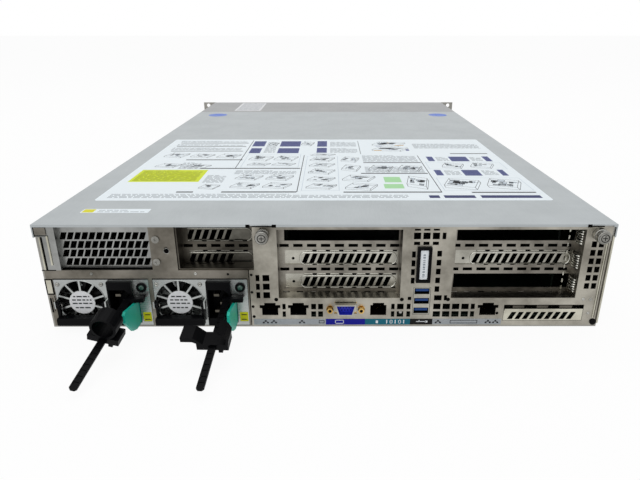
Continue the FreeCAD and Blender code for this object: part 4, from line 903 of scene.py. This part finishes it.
# %% Power supply trim
FAN_ACROSS = 19.5
FAN_UP = 20.3
GUARD_RADIUS = 18.9
GUARD_SCREWS = ((-17, 15.6), (17, 15.6), (-17.6, -2.5), (17.6, -2.5))
HUB_RADIUS = 9.9
HUB_ROWS = ((4.6, 6.4), (1.6, 7.6), (-1.4, 7.8), (-5.2, 6.0))
LENS_ACROSS = 67.8
LENS_UP = 33.4
STICKER = (66.2, 3.2, 6.6, 8.4)


def screw_head(bm, x, z, face, radius, proud):
    """Adds a low domed screw head on the rear panel side."""
    turned(bm, ((radius, 0.1), (radius, -proud * 0.5), (radius * 0.8, -proud), (radius * 0.3, -proud),
                (radius * 0.28, -proud * 0.6), (0.05, -proud * 0.6)), (x, face, z), INWARDS, 18)


for supply in ("psu1", "psu2"):
    low, high = corners(supply + "_case")
    face = corners(supply + "_face")[1].y - SHEET
    fan = (low.x + FAN_ACROSS, low.z + FAN_UP)
    bm = bmesh.new()
    for across, up in GUARD_SCREWS:
        screw_head(bm, fan[0] + across, fan[1] + up, face, 1.7, 0.7)
    make_piece(supply + "_guard_screws", bm, screw_steel, supply, smooth=True)
    bm = bmesh.new()
    wire_ring(bm, fan[0], face, fan[1], GUARD_RADIUS, 0.35, 48)
    make_piece(supply + "_guard_ring", bm, zinc, supply, smooth=True)
    bm = bmesh.new()
    turned(bm, ((HUB_RADIUS, 0.02), (HUB_RADIUS, -0.08), (0.1, -0.08)), (fan[0], face, fan[1]),
           INWARDS, 48)
    make_piece(supply + "_hub_film", bm, ink["silver"], supply)
    bm = bmesh.new()
    for row, reach in HUB_ROWS:
        start = fan[0] - reach
        while start < fan[0] + reach - 1:
            length = min(chance.uniform(1.6, 4.4), fan[0] + reach - start)
            prism(bm, box_outline(start, fan[1] + row, start + length, fan[1] + row + 1.1),
                  face - 0.11, face - 0.05, seen_from_rear)
            start += length + 0.9
    make_piece(supply + "_hub_bars", bm, ink["dark"], supply)
    lens = (low.x + LENS_ACROSS, face, low.z + LENS_UP)
    bm = bmesh.new()
    turned(bm, ((4.0, 0.1), (4.0, -1.0), (3.6, -1.4), (2.6, -1.4), (2.3, -0.9), (2.3, 0.1)), lens)
    make_piece(supply + "_lens_collar", bm, black_nylon, supply)
    bm = bmesh.new()
    turned(bm, ((2.3, 0.0), (2.3, -0.8), (1.7, -1.3), (0.8, -1.5), (0.05, -1.55)), lens, INWARDS, 28)
    make_piece(supply + "_status_lens", bm, lens_green, supply, smooth=True)
    x, z, wide, tall = STICKER
    bm = bmesh.new()
    prism(bm, rounded(low.x + x, low.z + z, low.x + x + wide, low.z + z + tall, 0.5, 3),
          face - 0.08, face + 0.02, seen_from_rear)
    make_piece(supply + "_yellow_sticker", bm, ink["yellow"], supply)
    bm = bmesh.new()
    for bar in (low.z + z + 1.4, low.z + z + 5.6):
        prism(bm, box_outline(low.x + x + 1.2, bar, low.x + x + wide - 1.2, bar + 0.8),
              face - 0.1, face, seen_from_rear)
    make_piece(supply + "_sticker_bars", bm, ink["dark"], supply)

# %% [markdown]
# The inlet's three pins are plated brass, dull in the shade of the cavity, so they take the dark steel as
# painted shade. They belong to the black inlet's node, so the faces inside the cavity that lie on a pin are
# painted.

# %% Inlet pins
PIN_SPOTS = ((-2, 7), (-2, -7), (2.5, 0))
for supply in ("psu1", "psu2"):
    low, high = corners(supply + "_inlet")
    middle = Vector(((low.x + high.x) / 2, 0, (low.z + high.z) / 2))

    def on_pin(place):
        """True where a face lies on one of the three pins."""
        near = any(abs(place.x - middle.x - x) < 2.2 and abs(place.z - middle.z - z) < 1.2
                   for x, z in PIN_SPOTS)
        return near and low.y + 1.5 < place.y < low.y + 15.5

    paint(supply + "_inlet", dark_steel_and_shade, on_pin)

# %% [markdown]
# Presses and rivets leave small holes and bright heads on the rear sheet; each hole is a dark disc of painted
# shade. They are turned shapes a few tenths of a millimetre deep, placed one by one.

# %% Holes and rivets
RIMMED_HOLE = (-120.4, 65.6, 1.9)
DARK_HOLES = (
    (-57.0, 45.6, 1.1), (-57.2, 30.6, 1.1), (-57.0, 18.0, 1.2), (-56.6, 9.0, 1.3), (-38.4, 24.2, 1.6),
    (60.6, 24.2, 1.6), (97.0, 24.2, 1.6), RIMMED_HOLE, (-75.0, 46.2, 1.0), (137.0, 12.0, 1.2),
)
bm = bmesh.new()
for x, z, radius in DARK_HOLES:
    turned(bm, ((radius, -0.05), (radius, 0.01), (0.05, 0.02)), (x, rear_face, z), INWARDS, 20)
make_piece("rear_small_holes", bm, black_and_shade, "chassis")
bm = bmesh.new()
x, z, radius = RIMMED_HOLE
wire_ring(bm, x, rear_face - 0.05, z, radius + 0.3, 0.25, 24)
make_piece("rear_hole_rim", bm, screw_steel, "chassis", smooth=True)
RIVETS = ((-180.4, 46.6), (-100.0, 46.6), (60.0, 13.0), (209.6, 24.0), (209.6, 12.0), (203.8, 24.4))
bm = bmesh.new()
for x, z in RIVETS:
    screw_head(bm, x, z, rear_face, 1.3, 0.4)
make_piece("rear_rivets", bm, screw_steel, "chassis", smooth=True)

# %% [markdown]
# Both ends of the rear wall are folded for stiffness, and each fold is a pale strip, a painted highlight
# along the bend, with dark strips of painted shadow beside the folds. On the left two narrow folds run down
# beside the grille under the end of the cover's rail, and a plain pale patch in a dark frame and two slots
# dark with painted shade mark the supply cage. On the right a fold and a bright hem run down to a dark round
# foot. The I/O module has a pale top rail, and the cover's lip is notched on both sides of each thumbscrew;
# the notches are dark strips of painted shade.

# %% Ends of the rear wall


def strip_set(name, strips, material, proud, round_edge=0.0, body="chassis", face=rear_face):
    """Upright or level strips on the rear, each given as its low and high corner."""
    bm = bmesh.new()
    for x0, z0, x1, z1 in strips:
        prism(bm, box_outline(x0, z0, x1, z1), face - proud, face + 0.05, seen_from_rear)
    return make_piece(name, bm, material, body, round_edge)


# The folds are painted pale as a highlight along each bend; the strips beside them are painted shadow.
strip_set("left_folds", ((-215.6, 50.0, -214.2, 77.0), (-209.6, 54.0, -208.2, 78.0)),
          cream_zinc_and_highlight, 0.7, 0.25)
strip_set("left_fold_shadows", ((-214.1, 50.0, -212.9, 77.0), (-218.0, 49.2, -207.0, 50.0),
                                (-218.6, 77.6, -208.0, 78.4)), black_and_shade, 0.06)
strip_set("cover_rail_end", ((-217.6, 78.8, -209.0, 84.8),), bracket_steel, 0.8, 0.3)
# The patch sits in a dark frame, and the two slots are dark with painted shade.
strip_set("cage_patch_frame", ((-217.8, 28.6, -211.6, 42.2),), black_and_shade, 0.06)
strip_set("cage_patch", ((-216.8, 29.8, -212.8, 41.2),), cream_zinc_and_highlight, 0.12)
strip_set("cage_slots", ((-216.6, 13.0, -215.2, 25.6), (-212.6, 8.0, -211.9, 27.6)),
          black_and_shade, 0.06)
# The right fold and hem are painted pale as a highlight along each bend.
strip_set("right_folds", ((213.2, 8.0, 214.2, 73.0), (217.2, 3.0, 218.6, 78.0)),
          cream_zinc_and_highlight, 0.6, 0.22)
strip_set("right_fold_shadows", ((214.3, 8.0, 215.1, 73.0), (216.2, 3.0, 217.1, 78.0)),
          dark_steel_and_shade, 0.06)
bm = bmesh.new()
turned(bm, ((2.6, 0.05), (2.6, -0.9), (2.0, -1.5), (0.6, -1.7), (0.05, -1.7)),
       (214.6, rear_face, 4.2), INWARDS, 20)
make_piece("right_foot", bm, black_nylon, "chassis", smooth=True)
strip_set("module_top_rail", ((142.6, 14.2, 204.8, 16.0),), cream_zinc_and_highlight, 0.5, 0.2)
LATCHES = ((149.0, 158.0), (168.0, 177.0), (186.0, 196.0))
strip_set("module_latches", [(start, 16.6, end, 18.8) for start, end in LATCHES],
          dark_steel_and_shade, 0.1, 0.2)
NOTCH_LOW = 84.9
NOTCH_WIDE = 3.2
# The notches are dark strips of painted shade in the cover's lip.
notches = [(x, NOTCH_LOW, x + NOTCH_WIDE, lid_high.z + 0.02) for x in (-59.0, -39.4, 196.4)]
strip_set("cover_lip_notches", notches, black_and_shade, 0.06, 0.0, "top_cover", lid_low.y)

# %% [markdown]
# The lever of a drive carrier is pulled by hand, so it has four ribs for a fingertip near its foot
# and a teal catch at its top.

# %% Drive carrier trim
RIB_PITCH = 3.2
for number in range(1, 5):
    name = f"carrier_lever_{number}"
    low, high = corners(name)
    bm = bmesh.new()
    middle = (low.x + high.x) / 2
    for row in range(4):
        z = low.z + 8 + row * RIB_PITCH
        prism(bm, rounded(middle - 3, z, middle + 3, z + 1.4, 0.6, 3), high.y - 0.02, high.y + 0.5,
              seen_from_rear)
    make_piece(name + "_grip_ribs", bm, black_nylon, name, 0.15)
    bm = bmesh.new()
    prism(bm, rounded(middle - 3.4, high.z - 12, middle + 3.4, high.z - 4, 1.0), high.y - 0.02, high.y + 0.5,
          seen_from_rear)
    make_piece(name + "_catch", bm, teal_latch, name, 0.2)

# %% [markdown]
# The camera stands behind the server, a little above it, and looks down 22 degrees. A lens of
# about 31 mm on a full frame gives the strong perspective of a product shot taken close by.

# %% Camera
CAMERA_PLACE = Vector((4.5, -739.4, 224.0)) * MM
LENS_LENGTH = 30.84
LOOK_DOWN = 21.79
LOOK_ASIDE = -0.12
camera_data = bpy.data.cameras.new("camera")
camera_data.lens = LENS_LENGTH
camera_data.sensor_width = 36.0
camera_data.shift_x = -0.0183
camera_data.shift_y = 0.0091
camera_data.clip_start = 0.01
camera = add_object("camera", camera_data)
camera.location = CAMERA_PLACE
camera.rotation_euler = Euler((math.radians(90 - LOOK_DOWN), 0, math.radians(LOOK_ASIDE)))
bpy.context.scene.camera = camera

# %% [markdown]
# The server stands on a pale sweep under broad soft lamps. Camera, mirror and glass rays meet a
# plain white world and a floor that is mostly white light, and the rest of the floor is matt paint
# so that it keeps the object's shadow. Other rays meet a dimmer world, so the lamps give the form.

# %% Floor, world and lamps
WORLD_LIGHT = 0.62
FLOOR_GLOW = 0.93


def seen_directly(tree):
    """One socket that is 1 for camera, glossy and transmission rays."""
    rays = add_node(tree, "ShaderNodeLightPath")
    first = add_node(tree, "ShaderNodeMath", {"operation": "MAXIMUM"})
    tree.links.new(rays.outputs["Is Camera Ray"], first.inputs[0])
    tree.links.new(rays.outputs["Is Glossy Ray"], first.inputs[1])
    both = add_node(tree, "ShaderNodeMath", {"operation": "MAXIMUM"})
    tree.links.new(first.outputs[0], both.inputs[0])
    tree.links.new(rays.outputs["Is Transmission Ray"], both.inputs[1])
    return both.outputs[0]


sweep, sweep_tree, sweep_shader = new_material("matt_white_sweep", "#f6f6f6", 0.95)
glow = add_node(sweep_tree, "ShaderNodeEmission", {"Color": linear("#ffffff"), "Strength": 1.0})
share = add_node(sweep_tree, "ShaderNodeMath", {"operation": "MULTIPLY"})
sweep_tree.links.new(seen_directly(sweep_tree), share.inputs[0])
share.inputs[1].default_value = FLOOR_GLOW
mixed = add_node(sweep_tree, "ShaderNodeMixShader")
sweep_tree.links.new(share.outputs[0], mixed.inputs[0])
sweep_tree.links.new(sweep_shader.outputs["BSDF"], mixed.inputs[1])
sweep_tree.links.new(glow.outputs["Emission"], mixed.inputs[2])
sweep_tree.links.new(mixed.outputs["Shader"], sweep_tree.nodes["Material Output"].inputs["Surface"])

FLOOR_REACH = 15.0
FLOOR_HEIGHT = -0.0006
bm = bmesh.new()
square = box_outline(-FLOOR_REACH, -FLOOR_REACH, FLOOR_REACH, FLOOR_REACH)
bm.faces.new([bm.verts.new((x, y, FLOOR_HEIGHT)) for x, y in square])
floor_mesh = bpy.data.meshes.new("studio_floor")
bm.to_mesh(floor_mesh)
bm.free()
floor_mesh.materials.append(sweep)
add_object("studio_floor", floor_mesh)

world = bpy.data.worlds.new("studio_world")
bpy.context.scene.world = world
world.use_nodes = True
sky = world.node_tree.nodes["Background"]
sky.inputs["Color"].default_value = linear("#ffffff")
level = add_node(world.node_tree, "ShaderNodeMapRange", {"To Min": WORLD_LIGHT, "To Max": 1.0},
                 Value=seen_directly(world.node_tree))
world.node_tree.links.new(level.outputs["Result"], sky.inputs["Strength"])


def soft_lamp(name, place, aim, size, watts):
    """A square area lamp pointed at a spot."""
    data = bpy.data.lights.new(name, "AREA")
    data.shape = "SQUARE"
    data.size = size
    data.energy = watts
    lamp = add_object(name, data)
    lamp.location = place
    lamp.rotation_euler = (Vector(aim) - Vector(place)).to_track_quat("-Z", "Y").to_euler()


soft_lamp("overhead", (0, 0.2, 2.2), (0, 0, 0), 2.0, 16)
soft_lamp("rear_fill", (-0.6, -2.0, 1.0), (0, -0.35, 0.04), 1.2, 8)
bpy.context.scene.view_settings.view_transform = "Standard"
